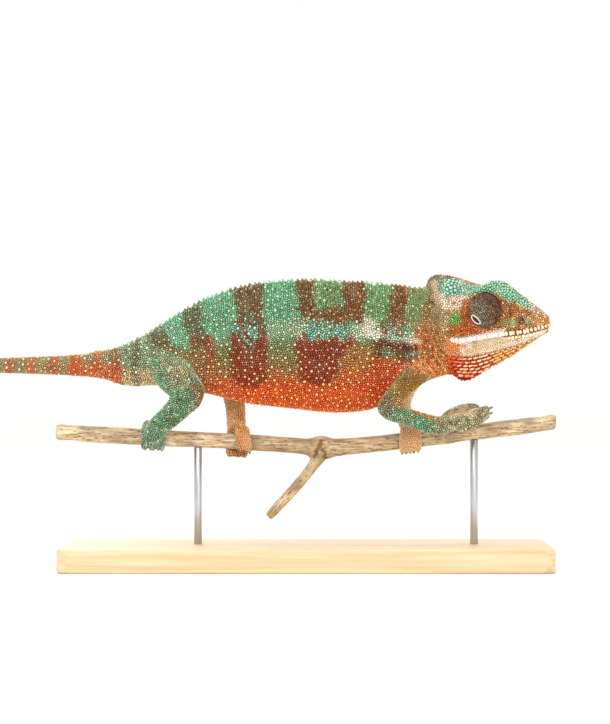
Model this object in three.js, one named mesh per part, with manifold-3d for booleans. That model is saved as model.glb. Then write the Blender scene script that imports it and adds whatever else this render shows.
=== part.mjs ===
// A male panther chameleon walking along a dry cane, as a life-size museum model on a display stand.
// Millimetres, +Z up. The animal faces +X and its right side faces -Y.
// The origin is the middle of the stand's underside.
import * as THREE from "three";
import { mergeVertices } from "three/addons/utils/BufferGeometryUtils.js";
import Module from "manifold-3d";

const wasm = await Module();
wasm.setup();

// ---- Driving dimensions ----

const GAP = 0.3; // left between neighbouring pieces
const TRIM = 0.17; // unevenness smaller than this is smoothed out of each piece
const SNOUT = new THREE.Vector3(122, 0, 121.5); // the tip of the mouth
const VENT_X = -79; // where the trunk ends and the tail begins
const COLLAR_X = 54; // where the trunk ends and the neck begins
const NAPE = { top: [62, 138], bottom: [74.5, 94] }; // the slanting seam between neck and head, [x, z]
const TAIL_LENGTH = 190; // along the curve, behind the swollen base
const TAIL_START_X = -108.5;
const TAIL_START_Z = 101.3;
const TAIL_STRAIGHT = 74; // how much of it is held straight before it curls
const TAIL_TIP_BEND = 7; // radius of the curl at its tip
const TAIL_SWAY = 9; // sideways swing of the tail's middle
const CREST_PITCH = 3.5; // along the back
const CREST_HEIGHT = 2.1;
const BEARD_PITCH = 3.6; // along the keel of the throat
const BEARD_HEIGHT = 1.3;
const EYE = { x: 88.9, y: 8.8, z: 129, long: 8.3, tall: 8.7, deep: 8.1 }; // the lid-covered turret
const PUPIL_RADIUS = 2; // the naked eye in the turret's opening
const TOE_RADIUS = 2.2;
const TOE_PITCH = 3.7; // between the middles of neighbouring toes
const CLAW_LENGTH = 2.8;
const PERCH_RADIUS = 4.2;
const PERCH_HALF_LENGTH = 125;
const FORK_RADIUS = 2.6;
const BASE = { length: 244, depth: 96, thickness: 12, corner: 8, bevel: 1.2 };
const ROD_RADIUS = 2;
const ROD_SINK = 6; // how deep a rod stands in the base
const ROD_X = [-54, 84];

// ---- Making, joining and cutting solids ----

/** A smooth curve through [place, value] pairs that never swings past them. */
function profile(pairs) {
  const rise = (i) => (pairs[i + 1][1] - pairs[i][1]) / (pairs[i + 1][0] - pairs[i][0]);
  const last = pairs.length - 1;
  const slopes = pairs.map((_, i) => {
    if (i === 0) return rise(0);
    if (i === last) return rise(last - 1);
    const before = rise(i - 1);
    const after = rise(i);
    return before * after <= 0 ? 0 : (2 * before * after) / (before + after);
  });
  return (place) => {
    const at = THREE.MathUtils.clamp(place, pairs[0][0], pairs[last][0]);
    const i = Math.min(last - 1, Math.max(0, pairs.findIndex((p) => p[0] > at) - 1));
    const k = at >= pairs[last][0] ? last - 1 : i;
    const span = pairs[k + 1][0] - pairs[k][0];
    const t = (at - pairs[k][0]) / span;
    const t2 = t * t;
    const t3 = t2 * t;
    return (
      (2 * t3 - 3 * t2 + 1) * pairs[k][1] +
      (t3 - 2 * t2 + t) * span * slopes[k] +
      (3 * t2 - 2 * t3) * pairs[k + 1][1] +
      (t3 - t2) * span * slopes[k + 1]
    );
  };
}

function solidOf(geometry) {
  const bare = geometry.clone();
  for (const name of ["normal", "uv"]) if (bare.hasAttribute(name)) bare.deleteAttribute(name);
  const merged = mergeVertices(bare, 1e-4);
  const vertProperties = merged.attributes.position.array;
  const triVerts = new Uint32Array(merged.index.array);
  const made = new wasm.Manifold(new wasm.Mesh({ numProp: 3, vertProperties, triVerts }));
  if (made.volume() > 0) return made;
  for (let i = 0; i < triVerts.length; i += 3) {
    [triVerts[i + 1], triVerts[i + 2]] = [triVerts[i + 2], triVerts[i + 1]];
  }
  return new wasm.Manifold(new wasm.Mesh({ numProp: 3, vertProperties, triVerts }));
}

function geometryOf(solid) {
  const mesh = solid.getMesh();
  const geometry = new THREE.BufferGeometry();
  geometry.setAttribute("position", new THREE.BufferAttribute(new Float32Array(mesh.vertProperties), 3));
  geometry.setIndex(new THREE.BufferAttribute(new Uint32Array(mesh.triVerts), 1));
  geometry.computeVertexNormals();
  return geometry;
}

/** A closed solid through rings of points, each end closed by a fan. */
function loft(rings) {
  const sides = rings[0].length;
  const middle = (ring) => ring.reduce((sum, p) => sum.add(p), new THREE.Vector3()).divideScalar(sides);
  const points = [...rings.flat(), middle(rings[0]), middle(rings.at(-1))];
  const tail = points.length - 2;
  const faces = [];
  for (let r = 0; r + 1 < rings.length; r++) {
    for (let s = 0; s < sides; s++) {
      const a = r * sides + s;
      const b = r * sides + ((s + 1) % sides);
      faces.push(a, b, b + sides, a, b + sides, a + sides);
    }
  }
  const end = (rings.length - 1) * sides;
  for (let s = 0; s < sides; s++) {
    const next = (s + 1) % sides;
    faces.push(tail, next, s, tail + 1, end + s, end + next);
  }
  const geometry = new THREE.BufferGeometry().setFromPoints(points);
  geometry.setIndex(faces);
  return solidOf(geometry);
}

/** A limb with round ends: `points` is its middle line, `radii` its radius at each of them. */
function limb(points, radii, { steps = 5, sides = 10, flat = 1, caps = [72, 38] } = {}) {
  const line = new THREE.CatmullRomCurve3(points.map((p) => new THREE.Vector3(...p)), false, "centripetal");
  const radius = profile(radii.map((r, i) => [i / (radii.length - 1), r]));
  const ringAt = (share, slide, r) => {
    const tangent = line.getTangent(share);
    const across = new THREE.Vector3(0, 1, 0).addScaledVector(tangent, -tangent.y).normalize();
    const up = new THREE.Vector3().crossVectors(tangent, across);
    return Array.from({ length: sides }, (_, s) => {
      const turn = (2 * Math.PI * (s + 0.5)) / sides;
      return line
        .getPoint(share)
        .addScaledVector(tangent, slide)
        .addScaledVector(across, r * flat * Math.cos(turn))
        .addScaledVector(up, r * Math.sin(turn));
    });
  };
  const capRing = (end, lean) => {
    const turn = THREE.MathUtils.degToRad(lean);
    const r = radius(end);
    return ringAt(end, (end ? 1 : -1) * r * Math.sin(turn), r * Math.cos(turn));
  };
  return loft([
    ...caps.map((lean) => capRing(0, lean)),
    ...Array.from({ length: steps + 1 }, (_, i) => ringAt(i / steps, 0, radius(i / steps))),
    ...caps.toReversed().map((lean) => capRing(1, lean)),
  ]);
}

/** The same solid with its surface moved out, to cut a neighbour with. */
function grown(solid, by = GAP) {
  const geometry = geometryOf(solid);
  const { position, normal } = geometry.attributes;
  for (let i = 0; i < position.count; i++) {
    position.setXYZ(
      i,
      position.getX(i) + normal.getX(i) * by,
      position.getY(i) + normal.getY(i) * by,
      position.getZ(i) + normal.getZ(i) * by,
    );
  }
  return solidOf(geometry);
}

const join = (...solids) => solids.reduce((sum, solid) => sum.add(solid));
const cut = (solid, ...cutters) => cutters.reduce((left, cutter) => left.subtract(cutter), solid);
const largest = (solid) => solid.decompose().sort((a, b) => b.volume() - a.volume())[0];

/** What lies ahead of a plane across the body, and what lies behind it, half a gap from it on each side. */
function parted(solid, normal, offset) {
  return {
    ahead: solid.trimByPlane(normal, offset + GAP / 2),
    behind: solid.trimByPlane(normal.map((n) => -n), -(offset - GAP / 2)),
  };
}

/** A slab right through the animal from side to side, with this [x, z] outline. */
function sideSlab(outline) {
  const halfWidth = 30;
  const shape = new THREE.Shape(outline.map(([x, z]) => new THREE.Vector2(x, z)));
  const geometry = new THREE.ExtrudeGeometry(shape, { depth: 2 * halfWidth, bevelEnabled: false });
  geometry.rotateX(Math.PI / 2);
  geometry.translate(0, halfWidth, 0);
  return solidOf(geometry);
}

/** A small pointed scale, leaning back a little, with its foot sunk in the skin. */
function spine(x, y, z, height, lean, sides = 4) {
  const sink = 1.2;
  const geometry = new THREE.ConeGeometry((height + sink) * 0.52, height + sink, sides);
  geometry.rotateX(Math.PI / 2);
  geometry.translate(0, 0, (height + sink) / 2 - sink);
  geometry.rotateY(lean);
  geometry.translate(x, y, z);
  return solidOf(geometry);
}

// ---- The body from the swollen tail base to the nape, in rings across X ----

const backLine = profile([
  [-112, 107.7], [-96, 109.2], [-84, 114], [-68.5, 123.5], [-52.5, 132.5], [-36.5, 138.5],
  [-20.5, 141.7], [0, 143], [23.5, 142], [47.5, 140], [62, 138], [76, 134],
]);
const bellyLine = profile([
  [-112, 95.7], [-99, 94.2], [-92, 91.3], [-84, 90.5], [-74, 91.5], [-60, 89.5], [-44.5, 86.3], [-30, 82.6],
  [-8.5, 80.2], [16, 77.8], [32, 79.2], [42, 83.2], [53, 88.4], [63.5, 94.5], [78, 98],
]);
const halfWidthLine = profile([
  [-112, 5.2], [-98, 6.8], [-88, 8.4], [-70, 10.6], [-45, 13.4], [-15, 15.4], [15, 15.8], [38, 14.6],
  [56, 12.4], [68, 11], [78, 10.4],
]);
const sagLine = profile([[-112, 0.02], [-80, 0.08], [-40, 0.26], [20, 0.28], [55, 0.16], [78, 0.05]]);

function torso() {
  const sides = 16;
  const steps = 24;
  const rings = [];
  for (let i = 0; i <= steps; i++) {
    const x = THREE.MathUtils.lerp(TAIL_START_X + GAP / 2, 77, i / steps);
    const middle = (backLine(x) + bellyLine(x)) / 2;
    const half = (backLine(x) - bellyLine(x)) / 2;
    rings.push(
      Array.from({ length: sides }, (_, s) => {
        const turn = (2 * Math.PI * s) / sides;
        const width = halfWidthLine(x) * (1 - sagLine(x) * Math.cos(turn));
        return new THREE.Vector3(x, width * Math.sin(turn), middle + half * Math.cos(turn));
      }),
    );
  }
  return loft(rings);
}

/** The row of pointed scales down the middle of the back, small over the tail base and the nape. */
function backCrest() {
  const size = profile([[-106, 0.35], [-86, 0.55], [-62, 0.85], [-30, 1], [40, 1], [62, 0.6]]);
  const spines = [];
  for (let x = -105; x < 61.5; x += CREST_PITCH) {
    spines.push(spine(x, 0, backLine(x) - 0.1, CREST_HEIGHT * size(x), -0.12));
  }
  return spines;
}

// ---- The head: lines that run along it from the casque to the snout, where `along` is 0 ----

const headLines = {
  crown: {
    y: () => 0,
    z: profile([[-62, 17], [-60.3, 23.2], [-57, 25.1], [-52, 25.5], [-45, 23.9], [-34.5, 20.1], [-22, 17.8],
      [-14.5, 13.4], [-7, 8.8], [0, 3.9]]),
  },
  crest: {
    y: profile([[-62, 6], [-57, 9.6], [-47, 11.4], [-35, 9.8], [-24.5, 7.8], [-14.5, 6], [-7, 4.3],
      [0, 1.3]]),
    z: profile([[-62, 13], [-57, 11.8], [-49, 10.2], [-41, 14], [-34.5, 19.6], [-29.5, 22.3], [-24.5, 22.7],
      [-19.5, 19.6], [-14.5, 15.6], [-7, 10.2], [-2, 6.4], [0, 4.4]]),
  },
  brow: {
    y: profile([[-62, 6.4], [-55, 9.6], [-47, 10.9], [-35, 10.6], [-26, 9.1], [-18.5, 7.9], [-12, 6.4],
      [-5, 4.3], [0, 1.8]]),
    z: profile([[-62, 8], [-55, 6.2], [-47, 6], [-40, 10], [-34.5, 15], [-26, 15.6], [-18.5, 11.6],
      [-12, 8.2], [-5, 5.2], [0, 3.2]]),
  },
  cheek: {
    y: profile([[-62, 7.4], [-55, 10.8], [-48, 12.2], [-38, 11.2], [-29.5, 9.4], [-19.5, 7.2], [-9.5, 5.3],
      [-3, 3.4], [0, 1.9]]),
    z: profile([[-62, -3], [-50, -3.2], [-30, -1.8], [-19.5, 0.4], [-9.5, 2.4], [0, 2]]),
  },
  lip: {
    y: profile([[-62, 7.4], [-55, 10.8], [-48, 12.4], [-38, 11.8], [-29.5, 10.3], [-19.5, 8.3], [-9.5, 6.1],
      [-3, 3.9], [0, 2]]),
    z: profile([[-62, -8], [-50, -8], [-34.5, -6.5], [-19.5, -4], [-9, -1.9], [0, 0]]),
  },
  jaw: {
    y: profile([[-62, 7], [-55, 9.4], [-45, 11], [-37, 10.3], [-29.5, 9], [-22, 7.4], [-14.5, 5.8],
      [-7, 4.1], [-2, 2.6], [0, 1.4]]),
    z: profile([[-62, -13], [-50, -14.4], [-37, -14.3], [-29.5, -13.2], [-22, -11.4], [-14.5, -9.4],
      [-7, -6.5], [0, -2.4]]),
  },
  pouch: {
    y: profile([[-62, 5], [-55, 6.6], [-46, 5.4], [-37, 4.9], [-22, 3.9], [-10, 2.7], [0, 0.8]]),
    z: profile([[-62, -17], [-50, -20.4], [-43, -22], [-34.5, -19.8], [-22, -15.2], [-10.5, -9.2],
      [0, -2.9]]),
  },
  keel: {
    y: () => 0,
    z: profile([[-62, -20], [-54, -24.6], [-49, -25], [-45.5, -27], [-42.5, -28], [-38.5, -26.4],
      [-30.5, -22.6], [-22.5, -17.9], [-14.5, -12.3], [-8, -8], [0, -3.2]]),
  },
};

/** One ring of the head: the eight lines on the right, and their mirror on the left. */
function headRing(along) {
  const right = Object.values(headLines).map(({ y, z }) => [-y(along), z(along)]);
  const left = right.slice(1, -1).reverse().map(([y, z]) => [-y, z]);
  const outline = [...right, ...left].map(([y, z]) => new THREE.Vector3(SNOUT.x + along, y, SNOUT.z + z));
  const smooth = new THREE.CatmullRomCurve3(outline, true, "catmullrom", 0.35);
  const samples = 2 * outline.length;
  return Array.from({ length: samples }, (_, s) => smooth.getPoint(s / samples));
}

function headWhole() {
  const rear = [-62, -60.5, -58.5, -55, -51, -47, -44, -41.5];
  const face = [-38, -34, -30, -26, -22, -18, -14, -10, -6, -2.5, -0.2];
  return loft([...rear, ...face].map(headRing));
}

/** The fringe of small pointed scales along the keel of the throat. */
function beard() {
  const spines = [];
  for (let along = -41; along < -9; along += BEARD_PITCH) {
    const height = BEARD_HEIGHT * THREE.MathUtils.mapLinear(along, -41, -9, 1, 0.45);
    spines.push(spine(SNOUT.x + along, 0, SNOUT.z + headLines.keel.z(along) + 0.2, height, 2.75));
  }
  return spines;
}

/** The turret: a scaly lid all round the eyeball, drawn out a little towards its small opening. */
function eyeTurret(side, gaze) {
  const geometry = new THREE.SphereGeometry(1, 12, 8);
  const { position } = geometry.attributes;
  const way = new THREE.Vector3();
  for (let i = 0; i < position.count; i++) {
    way.fromBufferAttribute(position, i).normalize();
    const swell = 1 + 0.09 * THREE.MathUtils.smoothstep(way.dot(gaze), 0.6, 1);
    position.setXYZ(
      i,
      EYE.x + way.x * EYE.long * swell,
      side * EYE.y + way.y * EYE.deep * swell,
      EYE.z + way.z * EYE.tall * swell,
    );
  }
  return solidOf(geometry);
}

/** The naked eye that shows in the turret's opening. */
function eyeball(side, gaze) {
  const reach = EYE.long - 1.2;
  const geometry = new THREE.SphereGeometry(PUPIL_RADIUS, 8, 6);
  geometry.translate(EYE.x + gaze.x * reach, side * EYE.y + gaze.y * reach, EYE.z + gaze.z * reach);
  return solidOf(geometry);
}

const GAZE = {
  right: new THREE.Vector3(-0.5, -0.67, -0.55).normalize(), // back and down
  left: new THREE.Vector3(0.45, 0.88, -0.1).normalize(), // ahead
};

/** Head, lower jaw, throat, and the two eyes in their sockets. */
function headPieces(whole) {
  const line = (name, from, to, by) => {
    const points = [];
    for (let along = from; along <= to; along += 3) {
      points.push([SNOUT.x + along, SNOUT.z + headLines[name].z(along) + by]);
    }
    return points;
  };
  const ahead = 6; // past the snout
  const below = 40; // under the throat
  const corner = -50; // the corner of the mouth
  const jawOutline = (by) => [
    ...line("lip", corner, 0, by),
    [SNOUT.x + ahead, SNOUT.z + by],
    [SNOUT.x + ahead, SNOUT.z - below],
    [SNOUT.x + corner - by, SNOUT.z - below],
  ];
  const throatOutline = (by) => [
    ...line("jaw", -46, -1, by),
    [SNOUT.x + ahead, SNOUT.z + headLines.jaw.z(0) + by],
    [SNOUT.x + ahead, SNOUT.z - below],
    [SNOUT.x - 53 - by, SNOUT.z - below],
    [SNOUT.x - 53 - by, SNOUT.z - 18],
  ];
  const turrets = { right: eyeTurret(-1, GAZE.right), left: eyeTurret(1, GAZE.left) };
  const eyes = { right: eyeball(-1, GAZE.right), left: eyeball(1, GAZE.left) };
  const throat = whole.intersect(sideSlab(throatOutline(0)));
  const aboveThroat = cut(whole, sideSlab(throatOutline(GAP)));
  return {
    head: cut(aboveThroat, sideSlab(jawOutline(GAP)), grown(turrets.right), grown(turrets.left)),
    lower_jaw: aboveThroat.intersect(sideSlab(jawOutline(0))),
    throat,
    eye_turret_right: cut(turrets.right, grown(eyes.right)),
    eye_turret_left: cut(turrets.left, grown(eyes.left)),
    eyeball_right: eyes.right,
    eyeball_left: eyes.left,
  };
}

// ---- The tail behind its base: straight, then curling down and under ever more tightly ----

const tailRadius = profile([
  [0, 5.8], [0.09, 4.7], [0.25, 3.9], [0.5, 3], [0.75, 2.1], [0.94, 1.4], [1, 0.9],
]);

/** The middle line of the tail, followed in small steps from its start. */
function tailLine() {
  const step = 1;
  const curling = TAIL_LENGTH - TAIL_STRAIGHT;
  const at = new THREE.Vector3(TAIL_START_X - GAP / 2, 0, TAIL_START_Z);
  const points = [at.clone()];
  let turn = 0;
  for (let s = step; s <= TAIL_LENGTH; s += step) {
    const curled = Math.max(0, s - TAIL_STRAIGHT) / curling;
    turn += (step * curled) / TAIL_TIP_BEND;
    at.x -= step * Math.cos(turn);
    at.z -= step * Math.sin(turn);
    const sway = TAIL_SWAY * THREE.MathUtils.smootherstep(s, 0, TAIL_LENGTH);
    points.push(new THREE.Vector3(at.x, sway, at.z));
  }
  return new THREE.CatmullRomCurve3(points, false, "catmullrom", 0.5);
}

/** One length of the tail, from one share of the whole to another. */
function tailLength(line, from, to, steps, sides) {
  const halfGap = GAP / 2 / TAIL_LENGTH;
  const start = from === 0 ? 0 : from + halfGap;
  const stop = to === 1 ? 1 : to - halfGap;
  const rings = [];
  for (let i = 0; i <= steps; i++) {
    const share = THREE.MathUtils.lerp(start, stop, i / steps);
    const centre = line.getPoint(share);
    const tangent = line.getTangent(share);
    const across = new THREE.Vector3(0, 1, 0).addScaledVector(tangent, -tangent.y).normalize();
    const up = new THREE.Vector3().crossVectors(across, tangent);
    const radius = tailRadius(share);
    const ring = Array.from({ length: sides }, (_, s) => {
      const turn = (2 * Math.PI * s) / sides;
      return centre
        .clone()
        .addScaledVector(across, radius * 0.9 * Math.sin(turn))
        .addScaledVector(up, radius * 1.03 * Math.cos(turn));
    });
    rings.push(ring);
  }
  return loft(rings);
}

function tailPieces() {
  const line = tailLine();
  return {
    tail_middle: tailLength(line, 0, 0.24, 6, 12),
    tail_end: tailLength(line, 0.24, 0.5, 8, 10),
    tail_curl: tailLength(line, 0.5, 0.76, 10, 8),
    tail_tip: tailLength(line, 0.76, 1, 12, 6),
  };
}

// ---- The perch: a length of dry cane with a joint in its middle and a side shoot below it ----

const PERCH_JOINT_X = 7.5;
const perchHeight = profile([
  [-125, 68], [-68, 65], [-27.5, 62.8], [-4.5, 61.2], [PERCH_JOINT_X, 59.8], [19.5, 60.8], [47.5, 63.4],
  [87.5, 68.4], [125, 73],
]);

function perchSolid() {
  const sides = 12;
  const swell = profile([
    [-125, 1], [-8, 0.96], [1, 1.04], [6.5, 1.42], [9.5, 1.4], [14, 1.08], [24, 1], [125, 0.94],
  ]);
  const stops = [-125, -95, -68, -45, -24, -8, 1, 5, 7.5, 10, 14, 22, 34, 52, 75, 100, 125];
  const rings = stops.map((x) =>
    Array.from({ length: sides }, (_, s) => {
      const radius = PERCH_RADIUS * swell(x);
      const turn = (2 * Math.PI * s) / sides;
      return new THREE.Vector3(x, radius * Math.sin(turn), perchHeight(x) + radius * Math.cos(turn));
    }),
  );
  const forkTop = [PERCH_JOINT_X + 1.5, 0, perchHeight(PERCH_JOINT_X) - 1];
  const forkEnd = [-19, 0, 25.4];
  const radii = [4, 2.9, FORK_RADIUS, FORK_RADIUS];
  const shoot = limb([forkTop, [1.2, 0, 48], [-8.6, 0, 36.6], forkEnd], radii, { sides: 8 });
  const along = [0.68, 0, 0.733]; // up the shoot, whose end is sawn square
  const sawn = shoot.trimByPlane(along, along[0] * forkEnd[0] + along[2] * forkEnd[2]);
  return join(loft(rings), sawn);
}

// ---- Toes: fused in two mitten-like bundles on each foot, which close on the perch like tongs ----

const toeTaper = profile([[0, 1.12], [0.33, 1.08], [0.67, 1], [1, 0.78]]);

/** One toe and its claw, along a middle line that gives a point for each share from 0 to 1. */
function toeAlong(lineAt, clawBend, radius = TOE_RADIUS) {
  const stops = [0, 0.25, 0.5, 0.75, 1];
  const tipRadius = radius * toeTaper(1);
  const flesh = limb(
    stops.map((share) => lineAt(share).toArray()),
    stops.map((share) => radius * toeTaper(share)),
    { steps: 4, sides: 6, caps: [50] },
  );
  const ahead = lineAt(1).sub(lineAt(0.93)).normalize();
  const root = lineAt(1).addScaledVector(ahead, tipRadius * Math.sin(THREE.MathUtils.degToRad(50)) + GAP);
  const middle = root.clone().addScaledVector(ahead, CLAW_LENGTH * 0.5).addScaledVector(clawBend, 0.2);
  const point = root.clone().addScaledVector(ahead, CLAW_LENGTH * 0.9).addScaledVector(clawBend, 0.9);
  const hornLine = [root, middle, point].map((p) => p.toArray());
  return { flesh, horn: limb(hornLine, [0.85, 0.62, 0.2], { steps: 2, sides: 5, caps: [] }) };
}

/** The toes of one bundle that grips the perch at x, down one side of it (-1 is the animal's right). */
function gripToes({ x, side, count, reach = 146, lean = 0, spread = 1 }) {
  const centre = new THREE.Vector3(x, 0, perchHeight(x));
  return Array.from({ length: count }, (_, i) => {
    const place = i - (count - 1) / 2;
    const lineAt = (share) => {
      const turn = THREE.MathUtils.degToRad(THREE.MathUtils.lerp(24, reach, share));
      const clear = PERCH_RADIUS + GAP / 2 + TOE_RADIUS * toeTaper(share);
      const apart = TOE_PITCH * spread * THREE.MathUtils.lerp(0.62, 1.02, Math.sqrt(share));
      const fan = apart * place + lean * share;
      return new THREE.Vector3(
        centre.x + fan,
        side * clear * Math.sin(turn),
        perchHeight(centre.x + fan) + clear * Math.cos(turn),
      );
    };
    const inward = centre.clone().sub(lineAt(1)).setX(0).normalize();
    return toeAlong(lineAt, inward.multiplyScalar(0.4));
  });
}

/** The toes of a bundle of the lifted hand, fanned out ahead of the wrist. */
function openToes({ wrist, bow, tip, count, spread }) {
  return Array.from({ length: count }, (_, i) => {
    const place = i - (count - 1) / 2;
    const line = new THREE.QuadraticBezierCurve3(
      new THREE.Vector3(...wrist).add(new THREE.Vector3(0, 0, -0.5 * spread * place)),
      new THREE.Vector3(...bow).add(new THREE.Vector3(0, 0, -1.4 * spread * place)),
      new THREE.Vector3(...tip).add(new THREE.Vector3(-Math.abs(place), 0, -0.85 * spread * place)),
    );
    return toeAlong((share) => line.getPoint(share), new THREE.Vector3(0, 0, -0.5), TOE_RADIUS * 1.1);
  });
}

// ---- The four legs, as [x, y, z] of each joint ----

const LEGS = {
  hind_right: {
    upper: [[[-71, -6, 104], [-65.2, -12.5, 96], [-56.8, -16.5, 88.8]], [9.6, 9.8, 7.2], 0.72],
    lower: [[[-57.6, -17, 86], [-66.8, -13.5, 76.8], [-75, -8.6, 69.6]], [7.2, 6, 5.4], 0.84],
    toes: {
      outer: gripToes({ x: -76.4, side: -1, count: 3, spread: 1.12 }),
      inner: gripToes({ x: -76, side: 1, count: 2, reach: 140 }),
    },
  },
  hind_left: {
    upper: [[[-66, 6, 106], [-54, 14, 99], [-39, 18.5, 93]], [9.4, 8.6, 6.8], 0.72],
    lower: [[[-38, 18.5, 91.5], [-35.6, 13.5, 80], [-35, 7, 70.4]], [6, 5.1, 5], 0.9],
    toes: {
      outer: gripToes({ x: -34.5, side: 1, count: 3, reach: 172 }),
      inner: gripToes({ x: -32, side: -1, count: 2, reach: 118, lean: 1.5 }),
    },
  },
  fore_right: {
    upper: [[[57, -8, 99], [47.4, -15, 89.8], [40.8, -18.5, 82.6]], [6.6, 5, 5], 0.85],
    lower: [
      [[40.2, -18.5, 80.4], [46.4, -18, 77], [55.4, -16, 74.2], [62.4, -14, 71.8], [68.6, -12.5, 71.6]],
      [5.2, 4.7, 4.5, 4.8, 4.8],
      0.85,
    ],
    toes: {
      outer: openToes({
        wrist: [69.6, -14, 72.4], bow: [81, -15, 73.8], tip: [90.2, -11.5, 78], count: 2, spread: 3.7,
      }),
      inner: openToes({
        wrist: [70, -9.4, 74.2], bow: [78, -5, 77], tip: [86, -5, 77.6], count: 3, spread: 3.1,
      }),
    },
  },
  fore_left: {
    upper: [[[56, 8, 99], [51.5, 15, 91], [48.5, 18.5, 84]], [6.4, 5.2, 5], 0.85],
    lower: [[[48.4, 18.5, 82.5], [49.5, 13.5, 76], [51.5, 7, 71.2]], [4.9, 4.4, 4.6], 0.9],
    toes: {
      outer: gripToes({ x: 52, side: 1, count: 2 }),
      inner: gripToes({ x: 52, side: -1, count: 3, reach: 140 }),
    },
  },
};

/** A leg's upper and lower length, its toe bundles and its claws, cut clear of the trunk and the perch. */
function legPieces(name, { upper, lower, toes }, trunkCutter, perchCutter) {
  const [upperLine, upperRadii, upperFlat] = upper;
  const [lowerLine, lowerRadii, lowerFlat] = lower;
  const upperLeg = limb(upperLine, upperRadii, { flat: upperFlat });
  const lowerLeg = limb(lowerLine, lowerRadii, { flat: lowerFlat });
  const footed = cut(lowerLeg, perchCutter, trunkCutter);
  const pieces = {
    [`${name}_upper`]: cut(upperLeg, trunkCutter, grown(footed)),
    [`${name}_lower`]: footed,
  };
  const taken = [grown(footed)];
  for (const [bundle, made] of Object.entries(toes)) {
    const flesh = cut(join(...made.map((toe) => toe.flesh)), ...taken);
    pieces[`${name}_${bundle}_toes`] = flesh;
    taken.push(grown(flesh));
    made.forEach(({ horn }, i) => {
      pieces[`claw_${name}_${bundle}_${i + 1}`] = cut(horn, taken.at(-1));
    });
  }
  return pieces;
}

// ---- The display stand: a flat board and two short rods up to the perch ----

function standPieces(perchCutter) {
  const { length, depth, thickness, corner, bevel } = BASE;
  const x = length / 2 - corner;
  const y = depth / 2 - corner;
  const outline = new THREE.Shape();
  outline.absarc(x, y, corner - bevel, 0, Math.PI / 2);
  outline.absarc(-x, y, corner - bevel, Math.PI / 2, Math.PI);
  outline.absarc(-x, -y, corner - bevel, Math.PI, 1.5 * Math.PI);
  outline.absarc(x, -y, corner - bevel, 1.5 * Math.PI, 2 * Math.PI);
  const board = new THREE.ExtrudeGeometry(outline, {
    depth: thickness - 2 * bevel,
    bevelThickness: bevel,
    bevelSize: bevel,
    bevelSegments: 1,
    curveSegments: 4,
  });
  board.translate(0, 0, bevel);
  const rods = ROD_X.map((rodX) => {
    const height = perchHeight(rodX) - (thickness - ROD_SINK);
    const rod = new THREE.CylinderGeometry(ROD_RADIUS, ROD_RADIUS, height, 12);
    rod.rotateX(Math.PI / 2);
    rod.translate(rodX, 0, thickness - ROD_SINK + height / 2);
    return largest(cut(solidOf(rod), perchCutter));
  });
  return {
    stand_base: cut(solidOf(board), ...rods.map((rod) => grown(rod))),
    stand_rod_rear: rods[0],
    stand_rod_front: rods[1],
  };
}

// ---- Putting the model together ----

const FINISHES = {
  flank: { color: "#5f9a6f", roughness: 0.55 },
  belly: { color: "#c4552c", roughness: 0.55 },
  head: { color: "#6fb79a", roughness: 0.5 },
  lips: { color: "#e8dcc0", roughness: 0.5 },
  throat: { color: "#c8452a", roughness: 0.55 },
  lid: { color: "#6b5a4c", roughness: 0.6 },
  eye: { color: "#15110d", roughness: 0.1 },
  claw: { color: "#8b8274", roughness: 0.4 },
  toes: { color: "#c29a6a", roughness: 0.6 },
  cane: { color: "#c9a878", roughness: 0.75 },
  board: { color: "#e3d2b4", roughness: 0.4 },
  rod: { color: "#b9bbbd", roughness: 0.3, metalness: 1 },
};

/** Which finish a piece has, by the first part of its name that matches. */
const FINISH_OF = [
  [/^claw_/, "claw"], [/^eyeball/, "eye"], [/^eye_turret/, "lid"], [/^lower_jaw/, "lips"],
  [/^throat/, "throat"], [/^head/, "head"], [/_toes$/, "toes"], [/^stand_rod/, "rod"],
  [/^stand_base/, "board"], [/^perch/, "cane"], [/^trunk|^neck/, "belly"], [/./, "flank"],
];

const perch = perchSolid();
const perchCutter = grown(perch);
const body = join(torso(), headWhole(), ...backCrest(), ...beard());
const napeRun = [NAPE.bottom[0] - NAPE.top[0], NAPE.bottom[1] - NAPE.top[1]];
const napeLength = Math.hypot(...napeRun);
const napeNormal = [-napeRun[1] / napeLength, 0, napeRun[0] / napeLength];
const napeOffset = napeNormal[0] * NAPE.top[0] + napeNormal[2] * NAPE.top[1];
const atNape = parted(body, napeNormal, napeOffset);
const atCollar = parted(atNape.behind, [1, 0, 0], COLLAR_X);
const atVent = parted(atCollar.behind, [1, 0, 0], VENT_X);
const bodyCutter = grown(body);

const solids = {
  ...headPieces(atNape.ahead),
  neck: atCollar.ahead,
  trunk: atVent.ahead,
  tail_base: atVent.behind,
  ...tailPieces(),
  perch,
  ...standPieces(perchCutter),
};
for (const [name, leg] of Object.entries(LEGS)) {
  Object.assign(solids, legPieces(name, leg, bodyCutter, perchCutter));
}

const chameleon = new THREE.Group();
for (const [name, solid] of Object.entries(solids)) {
  const finish = FINISHES[FINISH_OF.find(([pattern]) => pattern.test(name))[1]];
  const tidy = largest(largest(solid).simplify(TRIM));
  const mesh = new THREE.Mesh(geometryOf(tidy), new THREE.MeshStandardMaterial(finish));
  mesh.name = name;
  chameleon.add(mesh);
}

export default chameleon;
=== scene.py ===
"""A panther chameleon walking along a cut branch: a still, life-size museum model on a plain stand."""

import itertools
import math

import bmesh
import bpy
import numpy as np
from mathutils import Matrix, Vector
from mathutils.bvhtree import BVHTree
from mathutils.kdtree import KDTree


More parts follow.
